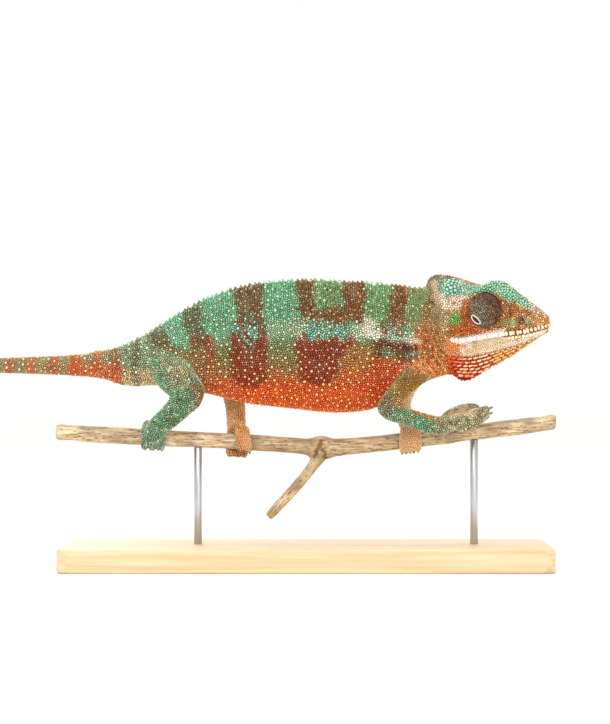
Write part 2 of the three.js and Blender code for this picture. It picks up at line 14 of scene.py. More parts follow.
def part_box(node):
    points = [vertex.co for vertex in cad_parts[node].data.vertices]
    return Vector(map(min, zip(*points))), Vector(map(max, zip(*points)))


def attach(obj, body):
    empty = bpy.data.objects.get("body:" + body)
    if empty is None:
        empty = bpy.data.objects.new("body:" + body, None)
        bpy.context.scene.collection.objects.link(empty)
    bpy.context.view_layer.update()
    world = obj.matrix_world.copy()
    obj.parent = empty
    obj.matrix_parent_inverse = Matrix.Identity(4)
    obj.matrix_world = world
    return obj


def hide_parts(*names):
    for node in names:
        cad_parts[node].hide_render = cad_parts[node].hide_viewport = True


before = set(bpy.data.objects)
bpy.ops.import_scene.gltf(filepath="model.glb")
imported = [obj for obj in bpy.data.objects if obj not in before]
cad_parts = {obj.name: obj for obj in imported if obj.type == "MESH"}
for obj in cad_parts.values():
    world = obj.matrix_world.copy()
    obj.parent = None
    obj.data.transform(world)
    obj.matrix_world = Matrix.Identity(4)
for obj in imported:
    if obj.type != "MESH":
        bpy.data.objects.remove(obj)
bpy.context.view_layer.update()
MM = 0.001

# Camera. It stands level with the middle of the flank and looks square at the animal's right side,
# from far enough away that the near and far legs keep their true places. The view's long side
# spans VIEW_TALL at the animal's midline.
CAMERA_AWAY = 1600
VIEW_TALL = 362
VIEW_MIDDLE = (-0.5, 103)
SENSOR = 36.0

lens = bpy.data.cameras.new("camera")
lens.sensor_width = SENSOR
lens.lens = SENSOR * CAMERA_AWAY / VIEW_TALL
lens.clip_end = 20
camera = bpy.data.objects.new("camera", lens)
camera.location = Vector((VIEW_MIDDLE[0], -CAMERA_AWAY, VIEW_MIDDLE[1])) * MM
camera.rotation_euler = (math.radians(90), 0, 0)
bpy.context.scene.collection.objects.link(camera)
bpy.context.scene.camera = camera

# Studio. A matt white paper sweep: a round floor whose edge curves up into a low wall, open above,
# lit by soft boxes over the front, the left and the back and by an even white sky.
FLOOR_RADIUS = 2200
SWEEP_RADIUS = 900
WALL_TOP = 2600
PAPER = "#fbfaf9"
PAPER_SIDES = 96
SKY_STRENGTH = 0.97


def linear(colour):
    """An sRGB hex colour as linear red, green, blue."""
    parts = [int(colour[k:k + 2], 16) / 255 for k in (1, 3, 5)]
    return [c / 12.92 if c <= 0.04045 else ((c + 0.055) / 1.055) ** 2.4 for c in parts]


def feed(tree, node, inputs):
    """Sets the node's inputs to values and hex colours, or links them to sockets."""
    for name, value in inputs.items():
        if isinstance(value, bpy.types.NodeSocket):
            tree.links.new(value, node.inputs[name])
        elif isinstance(value, str):
            node.inputs[name].default_value = (*linear(value), 1)
        else:
            node.inputs[name].default_value = value


def add(tree, kind, inputs=None, **settings):
    """A node of that kind, with its settings and its inputs."""
    node = tree.nodes.new(kind)
    for name, value in settings.items():
        setattr(node, name, value)
    feed(tree, node, inputs or {})
    return node


def finish_of(name):
    """An empty material, its tree and its shader."""
    material = bpy.data.materials.new(name)
    material.use_nodes = True
    tree = material.node_tree
    return material, tree, tree.nodes["Principled BSDF"]



def solid_mesh(name, points, *faces):
    """A smooth-shaded mesh from points in millimetres and one array of faces for each corner count."""
    mesh = bpy.data.meshes.new(name)
    corners = np.concatenate([np.asarray(group).ravel() for group in faces]).astype(np.int32)
    sizes = np.concatenate([np.full(len(group), np.shape(group)[1]) for group in faces])
    mesh.vertices.add(len(points))
    mesh.vertices.foreach_set("co", (np.asarray(points) * MM).astype(np.float32).ravel())
    mesh.loops.add(len(corners))
    mesh.loops.foreach_set("vertex_index", corners)
    mesh.polygons.add(len(sizes))
    mesh.polygons.foreach_set("loop_start", np.concatenate([[0], np.cumsum(sizes)[:-1]]).astype(np.int32))
    mesh.polygons.foreach_set("use_smooth", np.ones(len(sizes), bool))
    mesh.update(calc_edges=True)
    return mesh


def piece_of(mesh, material):
    """An object that shows the mesh in that material."""
    piece = bpy.data.objects.new(mesh.name, mesh)
    mesh.materials.clear()
    mesh.materials.append(material)
    bpy.context.scene.collection.objects.link(piece)
    return piece


def level_ring(middle, radius, z, sides):
    """A level circle of points."""
    turn = np.linspace(0, 2 * math.pi, sides, endpoint=False)
    x, y = middle[0] + radius * np.cos(turn), middle[1] + radius * np.sin(turn)
    return np.stack([x, y, np.full(sides, z)], 1)


def walls_between(count, sides):
    """The four-cornered faces that join each of count equal rings of points to the next."""
    first = np.arange(count - 1)[:, None] * sides
    here = np.arange(sides)
    after = (here + 1) % sides
    walls = np.stack([first + here, first + after, first + sides + after, first + sides + here], -1)
    return walls.reshape(-1, 4)


def rings_mesh(name, rings):
    """A closed tube through equal rings of points, each end filled."""
    rings = np.asarray(rings)
    count, sides = rings.shape[:2]
    here = np.arange(sides)
    return solid_mesh(name, rings.reshape(-1, 3), walls_between(count, sides),
                      [here[::-1], here + (count - 1) * sides])


sweep = [(0, 0), (FLOOR_RADIUS / 2, 0)]
for turn in np.linspace(0, 90, 13):
    sweep.append((FLOOR_RADIUS + SWEEP_RADIUS * math.sin(math.radians(turn)),
                  SWEEP_RADIUS * (1 - math.cos(math.radians(turn)))))
sweep.append((FLOOR_RADIUS + SWEEP_RADIUS, WALL_TOP))
paper_rings = [level_ring((0, 0), radius, z, PAPER_SIDES) for radius, z in sweep[1:]]
facing_in = walls_between(len(paper_rings), PAPER_SIDES)[:, [0, 3, 2, 1]]
paper_mesh = solid_mesh("paper_sweep", np.concatenate(paper_rings), facing_in, [np.arange(PAPER_SIDES)])
# Matt paper: no gloss, an even white that takes a soft shadow.
paper, tree, shader = finish_of("matt paper")
feed(tree, shader, {"Base Color": PAPER, "Roughness": 0.95, "Specular IOR Level": 0.1})
piece_of(paper_mesh, paper)

sky = bpy.data.worlds.new("studio")
sky.use_nodes = True
sky.node_tree.nodes["Background"].inputs["Color"].default_value = (1, 1, 1, 1)
sky.node_tree.nodes["Background"].inputs["Strength"].default_value = SKY_STRENGTH
bpy.context.scene.world = sky
bpy.context.scene.view_settings.view_transform = "Standard"

AIM = Vector((0, 0, 100)) * MM
SOFT_BOXES = (  # name, place in millimetres, side in millimetres, watts
    ("key", (-350, -1400, 1250), 700, 14),
    ("front", (700, -1700, 420), 900, 4),
    ("top", (0, 150, 1500), 700, 8),
    ("back", (-500, 1300, 900), 700, 6),
)
for name, place, side, watts in SOFT_BOXES:
    lamp = bpy.data.lights.new(name, "AREA")
    lamp.size = side * MM
    lamp.energy = watts
    box = bpy.data.objects.new(name, lamp)
    box.location = Vector(place) * MM
    box.rotation_mode = "QUATERNION"
    box.rotation_quaternion = (AIM - box.location).to_track_quat("-Z", "Y")
    box.visible_camera = False
    bpy.context.scene.collection.objects.link(box)

# Stand base. A board of hard maple, sawn and sanded, its corners rounded and its edges eased, under a
# satin clear lacquer.
BASE_CORNER = 8
BASE_EDGE = 1.2
GRAIN_MM = 2.4


def corner_of(node, k):
    """A solid's lowest (0) or highest (1) corner, in millimetres."""
    return np.array(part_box(node)[k]) / MM


def fit(piece, slot, *nodes):
    """Fixes the piece to the one body in place of those solids; the slot is not used."""
    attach(piece, "root")
    if nodes:
        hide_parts(*nodes)


low, high = corner_of("stand_base", 0), corner_of("stand_base", 1)
base_half = (high[:2] - low[:2]) / 2
base_middle = (high[:2] + low[:2]) / 2
quarter_turns = [(90 * quarter + step * 11.25, signs) for quarter, signs in
                 enumerate(((1, 1), (-1, 1), (-1, -1), (1, -1))) for step in range(9)]
base_rings = []
for edge_turn, edge_level in [(turn, low[2] + BASE_EDGE) for turn in (-90, -60, -30, 0)] + [
        (turn, high[2] - BASE_EDGE) for turn in (0, 30, 60, 90)]:
    inset = BASE_EDGE * (1 - math.cos(math.radians(edge_turn)))
    level = edge_level + BASE_EDGE * math.sin(math.radians(edge_turn))
    radius = BASE_CORNER - inset
    outline = [base_middle + np.array(signs) * (base_half - BASE_CORNER)
               + radius * np.array([math.cos(math.radians(turn)), math.sin(math.radians(turn))])
               for turn, signs in quarter_turns]
    base_rings.append([[*place, level] for place in outline])
# Sanded maple in satin lacquer: fine straight grain along the board, a soft even gloss.
maple, tree, shader = finish_of("satin lacquered maple")
place = add(tree, "ShaderNodeTexCoord").outputs["Object"]
along = add(tree, "ShaderNodeMapping", {"Vector": place, "Scale": (14, 1000 / GRAIN_MM, 1000 / GRAIN_MM)})
fibre = add(tree, "ShaderNodeTexNoise", {"Vector": along.outputs[0], "Scale": 1.0, "Detail": 6.0,
                                         "Distortion": 0.6})
wood = add(tree, "ShaderNodeValToRGB", {"Fac": fibre.outputs["Fac"]})
for stop, (position, colour) in zip(wood.color_ramp.elements, ((0.3, "#c9ab7e"), (0.7, "#e3cba4"))):
    stop.position, stop.color = position, (*linear(colour), 1)
relief = add(tree, "ShaderNodeBump", {"Height": fibre.outputs["Fac"], "Strength": 0.15, "Distance": 0.0001})
feed(tree, shader, {"Base Color": wood.outputs[0], "Roughness": 0.38, "Normal": relief.outputs[0]})
fit(piece_of(rings_mesh("maple_base", base_rings), maple), "wood_base", "stand_base")

# Stand rods. Two lengths of ground stainless steel rod, pushed into drilled holes in the board and
# into the underside of the branch.
ROD_SIDES = 40
ROD_EDGE = 0.3
BRUSH_MM = 0.25
# Ground stainless steel: a grey metal, with fine rings round the rod that spread the highlight.
steel, tree, shader = finish_of("ground stainless steel")
place = add(tree, "ShaderNodeTexCoord").outputs["Object"]
across = add(tree, "ShaderNodeMapping", {"Vector": place, "Scale": (40, 40, 1000 / BRUSH_MM)})
scratch = add(tree, "ShaderNodeTexNoise", {"Vector": across.outputs[0], "Scale": 1.0, "Detail": 3.0})
shade = add(tree, "ShaderNodeMapRange", {"Value": scratch.outputs["Fac"], "To Min": 0.24, "To Max": 0.42})
feed(tree, shader, {"Base Color": "#b9bbbd", "Metallic": 1.0, "Roughness": shade.outputs[0]})
for end in ("rear", "front"):
    low, high = corner_of(f"stand_rod_{end}", 0), corner_of(f"stand_rod_{end}", 1)
    rod_middle = (low + high) / 2
    radius = (high[0] - low[0]) / 2
    rod_rings = [level_ring(rod_middle, ring_radius, z, ROD_SIDES) for z, ring_radius in (
        (low[2], radius - ROD_EDGE), (low[2] + ROD_EDGE, radius),
        (high[2] - ROD_EDGE, radius), (high[2], radius - ROD_EDGE))]
    fit(piece_of(rings_mesh(f"steel_rod_{end}", rod_rings), steel), "steel_rod", f"stand_rod_{end}")

# Perch. A dry cane stem with a swollen joint where a side twig forks down, cut square at its ends;
# the bark is gone in places, and the bare wood is straw-coloured with brown fibres and dark flecks.
PERCH_VOXEL = 0.55
FORK_TOP = np.array([7.0, 0, 58.0])
FORK_WAY = np.array([-28.0, 0, -33.0]) / math.hypot(28, 33)
FORK_BLEND = (1.5, 2.5)  # how far below the fork its own grain starts, and over what height
JOINT_X, JOINT_REACH = 8, 3.2
STRAW_TONES = ((0.38, "#7a6044"), (0.46, "#c4a67a"), (0.6, "#e9d6b2"))


def wrapped(name, nodes, grow, voxel):
    """The named solids as one closed mesh in an object: walls moved out by grow, wrapped at voxel."""
    whole = bmesh.new()
    for node in nodes:
        part = bmesh.new()
        part.from_mesh(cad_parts[node].data)
        bmesh.ops.remove_doubles(part, verts=part.verts, dist=0.01 * MM)
        part.normal_update()
        for vertex in part.verts:
            vertex.co += vertex.normal * grow * MM
        loose = bpy.data.meshes.new("loose")
        part.to_mesh(loose)
        part.free()
        whole.from_mesh(loose)
        bpy.data.meshes.remove(loose)
    mesh = bpy.data.meshes.new(name)
    whole.to_mesh(mesh)
    whole.free()
    piece = bpy.data.objects.new(name, mesh)
    bpy.context.scene.collection.objects.link(piece)
    wrap = piece.modifiers.new("wrap", "REMESH")
    wrap.mode = "VOXEL"
    wrap.voxel_size = voxel * MM
    shape = bpy.data.meshes.new_from_object(piece.evaluated_get(bpy.context.evaluated_depsgraph_get()))
    piece.modifiers.clear()
    piece.data = shape
    return piece


def rows_of(items, name, wide, kind=float):
    """One property of a mesh's points, edges or triangles, as rows of that many numbers."""
    flat = np.zeros(len(items) * wide, kind)
    items.foreach_get(name, flat)
    return flat.reshape(-1, wide)


def points_of(mesh):
    """The mesh's points in millimetres."""
    return rows_of(mesh.vertices, "co", 3) / MM


def normals_of(mesh):
    """The outward direction at each of the mesh's points."""
    return rows_of(mesh.vertex_normals, "vector", 3)


def place_points(mesh, points):
    """Moves the mesh's points to these places, in millimetres."""
    mesh.vertices.foreach_set("co", (points * MM).astype(np.float32).ravel())
    mesh.update()


def edges_of(mesh):
    """The two points that each of the mesh's edges joins."""
    return rows_of(mesh.edges, "vertices", 2, np.int32)


def eased(values, points, edges, reach, rounds=30):
    """The points' values smoothed over their edges, so that what is narrower than reach melts away."""
    total = len(points)
    a, b = edges.T
    count = np.bincount(edges.ravel(), minlength=total)
    span = np.linalg.norm(points[a] - points[b], axis=1)
    spacing = (np.bincount(a, span, total) + np.bincount(b, span, total)) / count
    share = np.clip(2 * reach ** 2 / (spacing ** 2 * rounds), 0, 0.9)[:, None]
    for _ in range(rounds):
        mean = np.stack([np.bincount(a, values[b, k], total) + np.bincount(b, values[a, k], total)
                         for k in range(values.shape[1])], 1) / count[:, None]
        values = values + share * (mean - values)
    return values


def noise(points, size, seed):
    """Smooth noise from -1 to 1 at each point, in blobs about size across."""
    grid = np.atleast_2d(points) / size + 31.7 * seed
    cell = np.floor(grid).astype(np.int64)
    part = grid - cell
    part = part * part * (3 - 2 * part)
    total = np.zeros(len(grid))
    for corner in itertools.product((0, 1), repeat=3):
        x, y, z = (cell + corner).T
        bits = (x * 374761393 + y * 668265263 + z * 1274126177 + seed * 974634777) & 0xFFFFFFFF
        bits = ((bits ^ (bits >> 13)) * 1103515245) & 0xFFFFFFFF
        bits = bits ^ (bits >> 16)
        share = np.prod(np.where(corner, part, 1 - part), axis=1)
        total += share * ((bits & 0xFFFF) / 32767.5 - 1)
    return total


def steep(value, start, end):
    """0 up to start, 1 from end, and a smooth rise between."""
    share = np.clip((value - start) / (end - start), 0, 1)
    return share * share * (3 - 2 * share)


def from_line(side, line):
    """How far each (x, z) is from a line of points, and how far along it the nearest place lies."""
    best = np.full(len(side), 1e9)
    best_along = np.zeros(len(side))
    passed = 0
    for start, end in itertools.pairwise(np.array(line, float)):
        way = end - start
        length = np.linalg.norm(way)
        share = np.clip((side - start) @ way / length ** 2, 0, 1)
        gap = np.linalg.norm(side - start - share[:, None] * way, axis=1)
        closer = gap < best
        best = np.where(closer, gap, best)
        best_along = np.where(closer, passed + share * length, best_along)
        passed += length
    return best, best_along


BARK_SPLITS = (((4.1, 55.2), (5.4, 59), (7.4, 63.4)), ((7.4, 60.5), (9, 57), (10.2, 53.2)))
perch = wrapped("cane_perch", ["perch"], 0.1, PERCH_VOXEL)
points = points_of(perch.data)
points = eased(points, points, edges_of(perch.data), 1.1)
place_points(perch.data, points)
normals = normals_of(perch.data)
down = np.clip((FORK_TOP[2] - FORK_BLEND[0] - points[:, 2]) / FORK_BLEND[1], 0, 1)[:, None]
side_way = np.array([FORK_WAY[2], 0, -FORK_WAY[0]])
fork_grain = np.stack([(points - FORK_TOP) @ FORK_WAY, points[:, 1], (points - FORK_TOP) @ side_way], 1)
grain = points * (1 - down) + fork_grain * down
fibre_cells = grain * [0.06, 1, 1]
lift = 0.16 * noise(fibre_cells, 0.9, 1) + 0.22 * noise(fibre_cells, 2.6, 2) + 0.25 * noise(grain, 9, 3)
joint = np.exp(-((points[:, 0] - JOINT_X) / JOINT_REACH) ** 2) * (1 - down[:, 0])
lift += joint * (0.45 * noise(grain, 1.8, 4) + 0.25)
split = np.min([from_line(points[:, [0, 2]] + 0.9 * noise(points, 1.6, 29)[:, None], line)[0]
                for line in BARK_SPLITS], axis=0)
dark_split = np.exp(-(split / (0.6 + 0.25 * noise(points, 1.2, 33))) ** 2)
lift -= 0.5 * dark_split
worn = 0.34 * steep(points[:, 0], -50, -25) * steep(-points[:, 0], -75, -45) * (1 - 0.7 * down[:, 0])
worn = np.clip(worn + 0.9 * dark_split + 0.4 * joint * steep(noise(grain, 1.5, 30), -0.1, 0.5), 0, 1)
perch.data.attributes.new("worn", "FLOAT", "POINT").data.foreach_set("value", worn.astype(np.float32))
place_points(perch.data, points + normals * lift[:, None])
perch.data.attributes.new("grain", "FLOAT_VECTOR", "POINT").data.foreach_set(
    "vector", (grain * MM).astype(np.float32).ravel())
perch.data.shade_smooth()
# Weathered dry cane: matt straw wood, long brown fibres about 1 mm apart, dark flecks 1 to 2 mm long.
cane, tree, shader = finish_of("weathered dry cane")
place = add(tree, "ShaderNodeAttribute", attribute_name="grain").outputs["Vector"]
long = add(tree, "ShaderNodeMapping", {"Vector": place, "Scale": (110, 1100, 1100)})
fibres = add(tree, "ShaderNodeTexNoise", {"Vector": long.outputs[0], "Scale": 1.0, "Detail": 6.0,
                                          "Roughness": 0.7})
tone = add(tree, "ShaderNodeValToRGB", {"Fac": fibres.outputs["Fac"]})
tone.color_ramp.elements.new(STRAW_TONES[1][0])
for stop, (position, colour) in zip(tone.color_ramp.elements, STRAW_TONES):
    stop.position, stop.color = position, (*linear(colour), 1)
patches = add(tree, "ShaderNodeTexNoise", {"Vector": place, "Scale": 75.0, "Detail": 3.0})
stain = add(tree, "ShaderNodeMapRange", {"Value": patches.outputs["Fac"], "From Min": 0.44, "From Max": 0.66,
                                         "To Min": 0.0, "To Max": 0.7})
stained = add(tree, "ShaderNodeMix", {"Factor": stain.outputs[0], "A": tone.outputs[0], "B": "#8a7257"},
              data_type="RGBA")
wear = add(tree, "ShaderNodeAttribute", attribute_name="worn").outputs["Fac"]
weathered = add(tree, "ShaderNodeMix", {"Factor": wear, "A": stained.outputs[2], "B": "#74552c"},
                data_type="RGBA")
fleck_place = add(tree, "ShaderNodeMapping", {"Vector": place, "Scale": (330, 900, 900)})
flecks = add(tree, "ShaderNodeTexVoronoi", {"Vector": fleck_place.outputs[0], "Scale": 0.8})
fleck = add(tree, "ShaderNodeMapRange", {"Value": flecks.outputs["Distance"], "From Min": 0.14,
                                         "From Max": 0.32, "To Min": 0.75, "To Max": 0.0})
spotted = add(tree, "ShaderNodeMix", {"Factor": fleck.outputs[0], "A": weathered.outputs[2], "B": "#4a3626"},
              data_type="RGBA")
relief = add(tree, "ShaderNodeBump", {"Height": fibres.outputs["Fac"], "Strength": 0.5, "Distance": 0.0003})
feed(tree, shader, {"Base Color": spotted.outputs[2], "Roughness": 0.72, "Normal": relief.outputs[0]})
perch.data.materials.append(cane)
fit(perch, "cane", "perch")

# Skin. One hide wraps the head, neck, trunk, tail and legs without a seam. It is wrapped over the
# flesh, smoothed, let in by the depth of the scales, and creased where the live skin folds: at the
# mouth, in rows under the throat, slantwise on the neck and upright on the flank.
SKIN_VOXEL = 0.98
WALL_GROWTH = 0.35
COAT_DEPTH = 0.42
LEGS = ("hind_right", "hind_left", "fore_right", "fore_left")
TAIL = ("tail_base", "tail_middle", "tail_end", "tail_curl", "tail_tip")
FLESH = ["head", "lower_jaw", "throat", "neck", "trunk", *TAIL]
FLESH += [f"{leg}_{part}" for leg in LEGS for part in ("upper", "lower", "outer_toes", "inner_toes")]
SMOOTH_REACH = {"head": 0.8, "lower_jaw": 0.5, "throat": 0.45, "neck": 2.0, "trunk": 2.0, "tail_base": 2.0,
                "tail_middle": 1.1, "tail_end": 0.8, "tail_curl": 0.6, "tail_tip": 0.4,
                "upper": 1.4, "lower": 1.2, "toes": 0.5}
HEAD_FROM = (58, 91)
MOUTH_LINE = ((71, 112.6), (76, 111.9), (80, 112.3), (90, 114.2), (100, 115.8), (105, 116.3), (109, 116.9),
              (113, 117.9), (117, 118.8), (122.5, 120.4))
GULAR_LINES = (
    ((70, 106.2), (78, 105.3), (85, 106), (95, 108.4), (104, 110.9), (112, 114)),
    ((70, 104.6), (77, 103.7), (83, 104), (91, 106.1), (99, 108.7), (106, 111.2), (112, 113)),
    ((70.5, 102.9), (78, 102), (84, 102.2), (91, 104.3), (98, 107.1), (103, 109.3), (110, 111.6)),
    ((71, 101), (79, 100.3), (85, 100.5), (91, 102.5), (97, 105.3), (107, 109.4)),
    ((72.5, 99.2), (80, 98.6), (86, 98.9), (91, 100.7), (95, 103), (104, 107)),
    ((74, 97.3), (81, 96.9), (87, 97.4), (91, 99.2), (101, 104.4)),
    ((75.5, 95.5), (82, 95.1), (87, 95.9), (97, 101.4)),
    ((77, 93.6), (82, 93.3), (86, 93.8), (92, 97.2)),
)
FLANK_FOLD_PITCH = 2.35
NECK_FOLD_PITCH = 1.5
NECK_FOLD_WAY = np.array([0.77, 0.64])
NOSTRIL = (107.6, 123.9)


def within(side, outline, soft=0.7):
    """1 inside the outline of (x, z) corners and 0 outside, with an edge about soft wide."""
    outline = np.array(outline, float)
    edge, _ = from_line(side, [*outline, outline[0]])
    inside = np.zeros(len(side), bool)
    for (x0, z0), (x1, z1) in zip(outline, np.roll(outline, -1, axis=0)):
        crosses = (z0 > side[:, 1]) != (z1 > side[:, 1])
        at = x0 + (side[:, 1] - z0) * (x1 - x0) / (z1 - z0 if z1 != z0 else 1)
        inside ^= crosses & (side[:, 0] < at)
    return steep(np.where(inside, edge, -edge), -soft, soft)


def surface_of(nodes):
    """A search tree over the solids, and the node that each of its triangles belongs to."""
    corners, triangles, owners = [], [], []
    for index, node in enumerate(nodes):
        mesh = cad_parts[node].data
        start = len(corners)
        corners += [vertex.co[:] for vertex in mesh.vertices]
        triangles += [tuple(start + k for k in face.vertices) for face in mesh.polygons]
        owners += [index] * len(mesh.polygons)
    return BVHTree.FromPolygons(corners, triangles), np.array(owners)


def owners_at(points):
    """The place in FLESH of the solid nearest to each point."""
    return np.array([flesh_owner[flesh_tree.find_nearest(Vector(p) * MM)[2]] for p in points])


def wobbled(points):
    """Side positions (x, z), shifted by a millimetre or less so that no marking has a ruled edge."""
    x, _, z = points.T
    teeth = np.cos(2 * math.pi * x / FLANK_FOLD_PITCH + 2 * noise(points, 9, 12))
    teeth = teeth * steep(z, 110, 120) * steep(-x, -60, -54)
    shift = np.stack([noise(points, 3.1, 5) + 0.7 * noise(points, 1.3, 6),
                      noise(points, 3.1, 7) + 0.7 * noise(points, 1.3, 8) + 1.5 * teeth], 1)
    return points[:, [0, 2]] + np.where(x < 62, 1.15, 0.75)[:, None] * shift


skin = wrapped("skin", FLESH, WALL_GROWTH, SKIN_VOXEL)
whole = bmesh.new()
whole.from_mesh(skin.data)
head_edges = set()
for face in whole.faces:
    middle = face.calc_center_median()
    if middle.x > HEAD_FROM[0] * MM and middle.z > HEAD_FROM[1] * MM:
        head_edges.update(face.edges)
bmesh.ops.subdivide_edges(whole, edges=list(head_edges), cuts=1, use_grid_fill=True)
whole.to_mesh(skin.data)
whole.free()
points = points_of(skin.data)
edges = edges_of(skin.data)
flesh_tree, flesh_owner = surface_of(FLESH)
owner = owners_at(points)
reach = np.array([SMOOTH_REACH.get(node) or SMOOTH_REACH[node.rsplit("_")[-1]] for node in FLESH])[owner]
reach = eased(reach[:, None], points, edges, 2.0)[:, 0]
faceted = points
points = eased(points, points, edges, reach)
place_points(skin.data, points)
normals = normals_of(skin.data)
sunk = ((faceted - points) * normals).sum(1)
refill = eased(sunk[:, None], points, edges, 1.6 * reach)
points = points + normals * refill
place_points(skin.data, points)
normals = normals_of(skin.data)


def flank_fold(points, x):
    """1 on the ridges of the flank's upright folds and -1 in the creases between them."""
    return np.cos(2 * math.pi * (x + 0.7 * noise(points, 8, 10)) / FLANK_FOLD_PITCH)


def neck_slant(points, side):
    """How far each point lies across the neck's slanting folds, in millimetres."""
    return side @ NECK_FOLD_WAY + 0.5 * noise(points, 7, 9)


def skin_relief(points, normals, node):
    """How far the skin stands out (+) or in (-) at each point, in millimetres."""
    side = points[:, [0, 2]]
    x, z = side.T
    lift = np.zeros(len(points))
    on_head = steep(x, 60, 64) * steep(z, 90, 92)
    back = 0.8 * steep(normals[:, 2], 0.6, 0.95)
    lift += back * steep(x, -110, -90) * steep(-x, -62, -56) * steep(z, 105, 112)
    belly = 0.4 * steep(-normals[:, 2], 0.6, 0.95)
    lift += belly * steep(x, -60, -50) * steep(-x, -46, -40) * steep(-z, -100, -92)
    throat_lobe = 0.9 * steep(-normals[:, 2], 0.2, 0.8)
    lift += throat_lobe * steep(x, 73, 76) * steep(-x, -90, -84) * steep(-z, -99, -96)
    lift += 0.3 * np.char.endswith(node, "toes")
    lift += 0.9 * steep(x, 54, 58) * steep(-x, -72, -64) * steep(z, 130, 135)
    mouth, _ = from_line(side, MOUTH_LINE)
    lift -= (0.15 + 0.6 * steep(x, 96, 101)) * np.exp(-(mouth / 0.42) ** 2) * on_head
    upper_lip, _ = from_line(side, [(px, pz + 1.5) for px, pz in MOUTH_LINE])
    lift += 0.45 * np.exp(-(upper_lip / 1.1) ** 4) * on_head
    for line in GULAR_LINES:
        gap, _ = from_line(side, line)
        lift -= 0.55 * np.exp(-(gap / 0.45) ** 2) * steep(z, 91, 93)
    on_neck = steep(x, 49, 56) * steep(-x, -74, -67) * steep(z, 92, 98) * steep(-z, -132, -124)
    lift += 0.24 * np.cos(2 * math.pi * neck_slant(points, side) / (2 * NECK_FOLD_PITCH)) * on_neck
    on_flank = steep(x, -78, -66) * steep(-x, -56, -48) * steep(z, 104, 120)
    lift += 0.14 * flank_fold(points, x) * on_flank
    pit = np.hypot(x - NOSTRIL[0], z - NOSTRIL[1])
    lift += 0.4 * np.exp(-((pit - 1.5) / 0.7) ** 2) - 1.1 * np.exp(-(pit / 0.75) ** 2)
    return lift


lift = skin_relief(points, normals, np.array(FLESH)[owner]) - WALL_GROWTH - COAT_DEPTH
points = points + normals * lift[:, None]
place_points(skin.data, points)
skin.data.shade_smooth()

# Markings. A male's bars of turquoise green and red-brown run down from the crest and turn brick red
# on the flank, over an orange belly; a pale turquoise stripe crosses them along the flank.
GREEN, GREEN_REAR, GREEN_FRONT, GREEN_NECK = "#6fb488", "#78b48c", "#77a86e", "#80a05e"
BAR_REAR, BAR_BROWN, BAR_MIDDLE, BAR_RUST = "#646f4c", "#6d6242", "#74522c", "#804e1c"
BRICK, BLOOD, OXBLOOD = "#8e2400", "#5a1000", "#702808"
OLIVE, OCHRE, ORANGE, TAN = "#7c8d56", "#b07a34", "#ee6216", "#d9ab78"
TURQUOISE, CYAN, CREAM, BONE = "#80b496", "#56b2a6", "#d3dcba", "#e2ecd6"
# The gap tints darken colours for the skin between scales: partly its own darker tone, partly painted shade
# in the grooves; the soft tint is for smooth skin.
GAP_TINT, SOFT_GAP_TINT = np.array([0.5, 0.3, 0.24]), np.array([0.8, 0.7, 0.6])
# Every place in these outlines and lines is (x, z) in millimetres, seen from the side.
THROAT_OUTLINE = ((69, 106.6), (78, 105.4), (85, 106.2), (95, 108.6), (104, 111), (114, 114.6), (112, 100),
                  (80, 86), (71, 92))
JAW_OUTLINE = ((76, 112), (96, 115), (118, 119), (112, 112), (98, 109), (82, 105.5), (76, 107))
CHIN_OUTLINE = ((74, 96.4), (84, 95), (84, 90), (75, 90))
CHEEK_OUTLINE = ((70, 122), (82, 134), (86, 117.4), (71, 115))
EYE_SURROUND = ((86, 138), (97, 136), (110, 129.4), (111, 121), (95, 119))
RUMP_OUTLINE = ((-79, 117.5), (-74, 121.5), (-68, 114), (-66, 109), (-72, 109.5), (-78, 113))
BARS = (  # colour, outline, strength
    (GREEN_REAR, ((-72, 121), (-61, 128), (-59, 118), (-57, 110), (-66, 111)), 1),
    (BAR_REAR, ((-63, 129), (-53, 135), (-51.5, 124), (-50, 118), (-48, 113), (-56, 112), (-58, 116),
                (-60, 120)), 1),
    (GREEN, ((-53.5, 135), (-38, 142), (-36, 132), (-35, 124), (-36, 115), (-47, 112), (-50, 118),
             (-51.5, 125)), 1),
    (BAR_BROWN, ((-38.5, 142), (-20, 146), (-20.5, 135), (-22, 130), (-20, 124), (-20, 116), (-36, 116),
                 (-34.5, 125), (-35, 132)), 1),
    (GREEN, ((-20.5, 146), (-5, 147), (-4, 136), (-4.5, 130), (-3.5, 125), (-2, 117), (-20, 116),
             (-22, 130)), 1),
    ("#a5b892", ((-19.5, 123), (-5, 123), (-3, 116), (-19, 116)), 0.6),
    (BAR_MIDDLE, ((-5.5, 147), (3.5, 147), (3.5, 135), (4, 127), (-1, 121), (-3, 126), (-4.5, 130),
                  (-4, 136)), 1),
    (GREEN_FRONT, ((3.5, 147), (19.5, 147), (19, 135), (19.5, 128), (4, 128.5)), 1),
    ("#7c6743", ((9.3, 147), (10.6, 147), (11.2, 129), (9.8, 129)), 0.75),
    ("#7c6743", ((13.7, 147), (15, 147), (15.4, 129), (14, 129)), 0.75),
    (BAR_RUST, ((19, 147), (31, 147), (30, 136), (29.5, 130), (28, 124), (27, 119), (24, 122),
                (4, 122.5), (4, 129), (19, 129.5)), 1),
    (GREEN_FRONT, ((30.5, 147), (44, 146), (41, 131), (40.5, 126), (39, 119), (28, 122), (28.5, 128),
                   (30, 134)), 1),
    (BAR_RUST, ((43.5, 146), (52.5, 146), (50.5, 134), (48.5, 128), (50, 121), (38, 118), (41, 126),
                (42, 132)), 1),
    (BAR_RUST, ((50, 148), (64, 148), (63, 138.5), (51, 138.5)), 0.8),
    (GREEN_NECK, ((52, 139.5), (60.5, 139.5), (58.5, 134), (56, 127), (54, 122), (50, 122), (49.5, 127),
                  (51, 135)), 0.95),
)
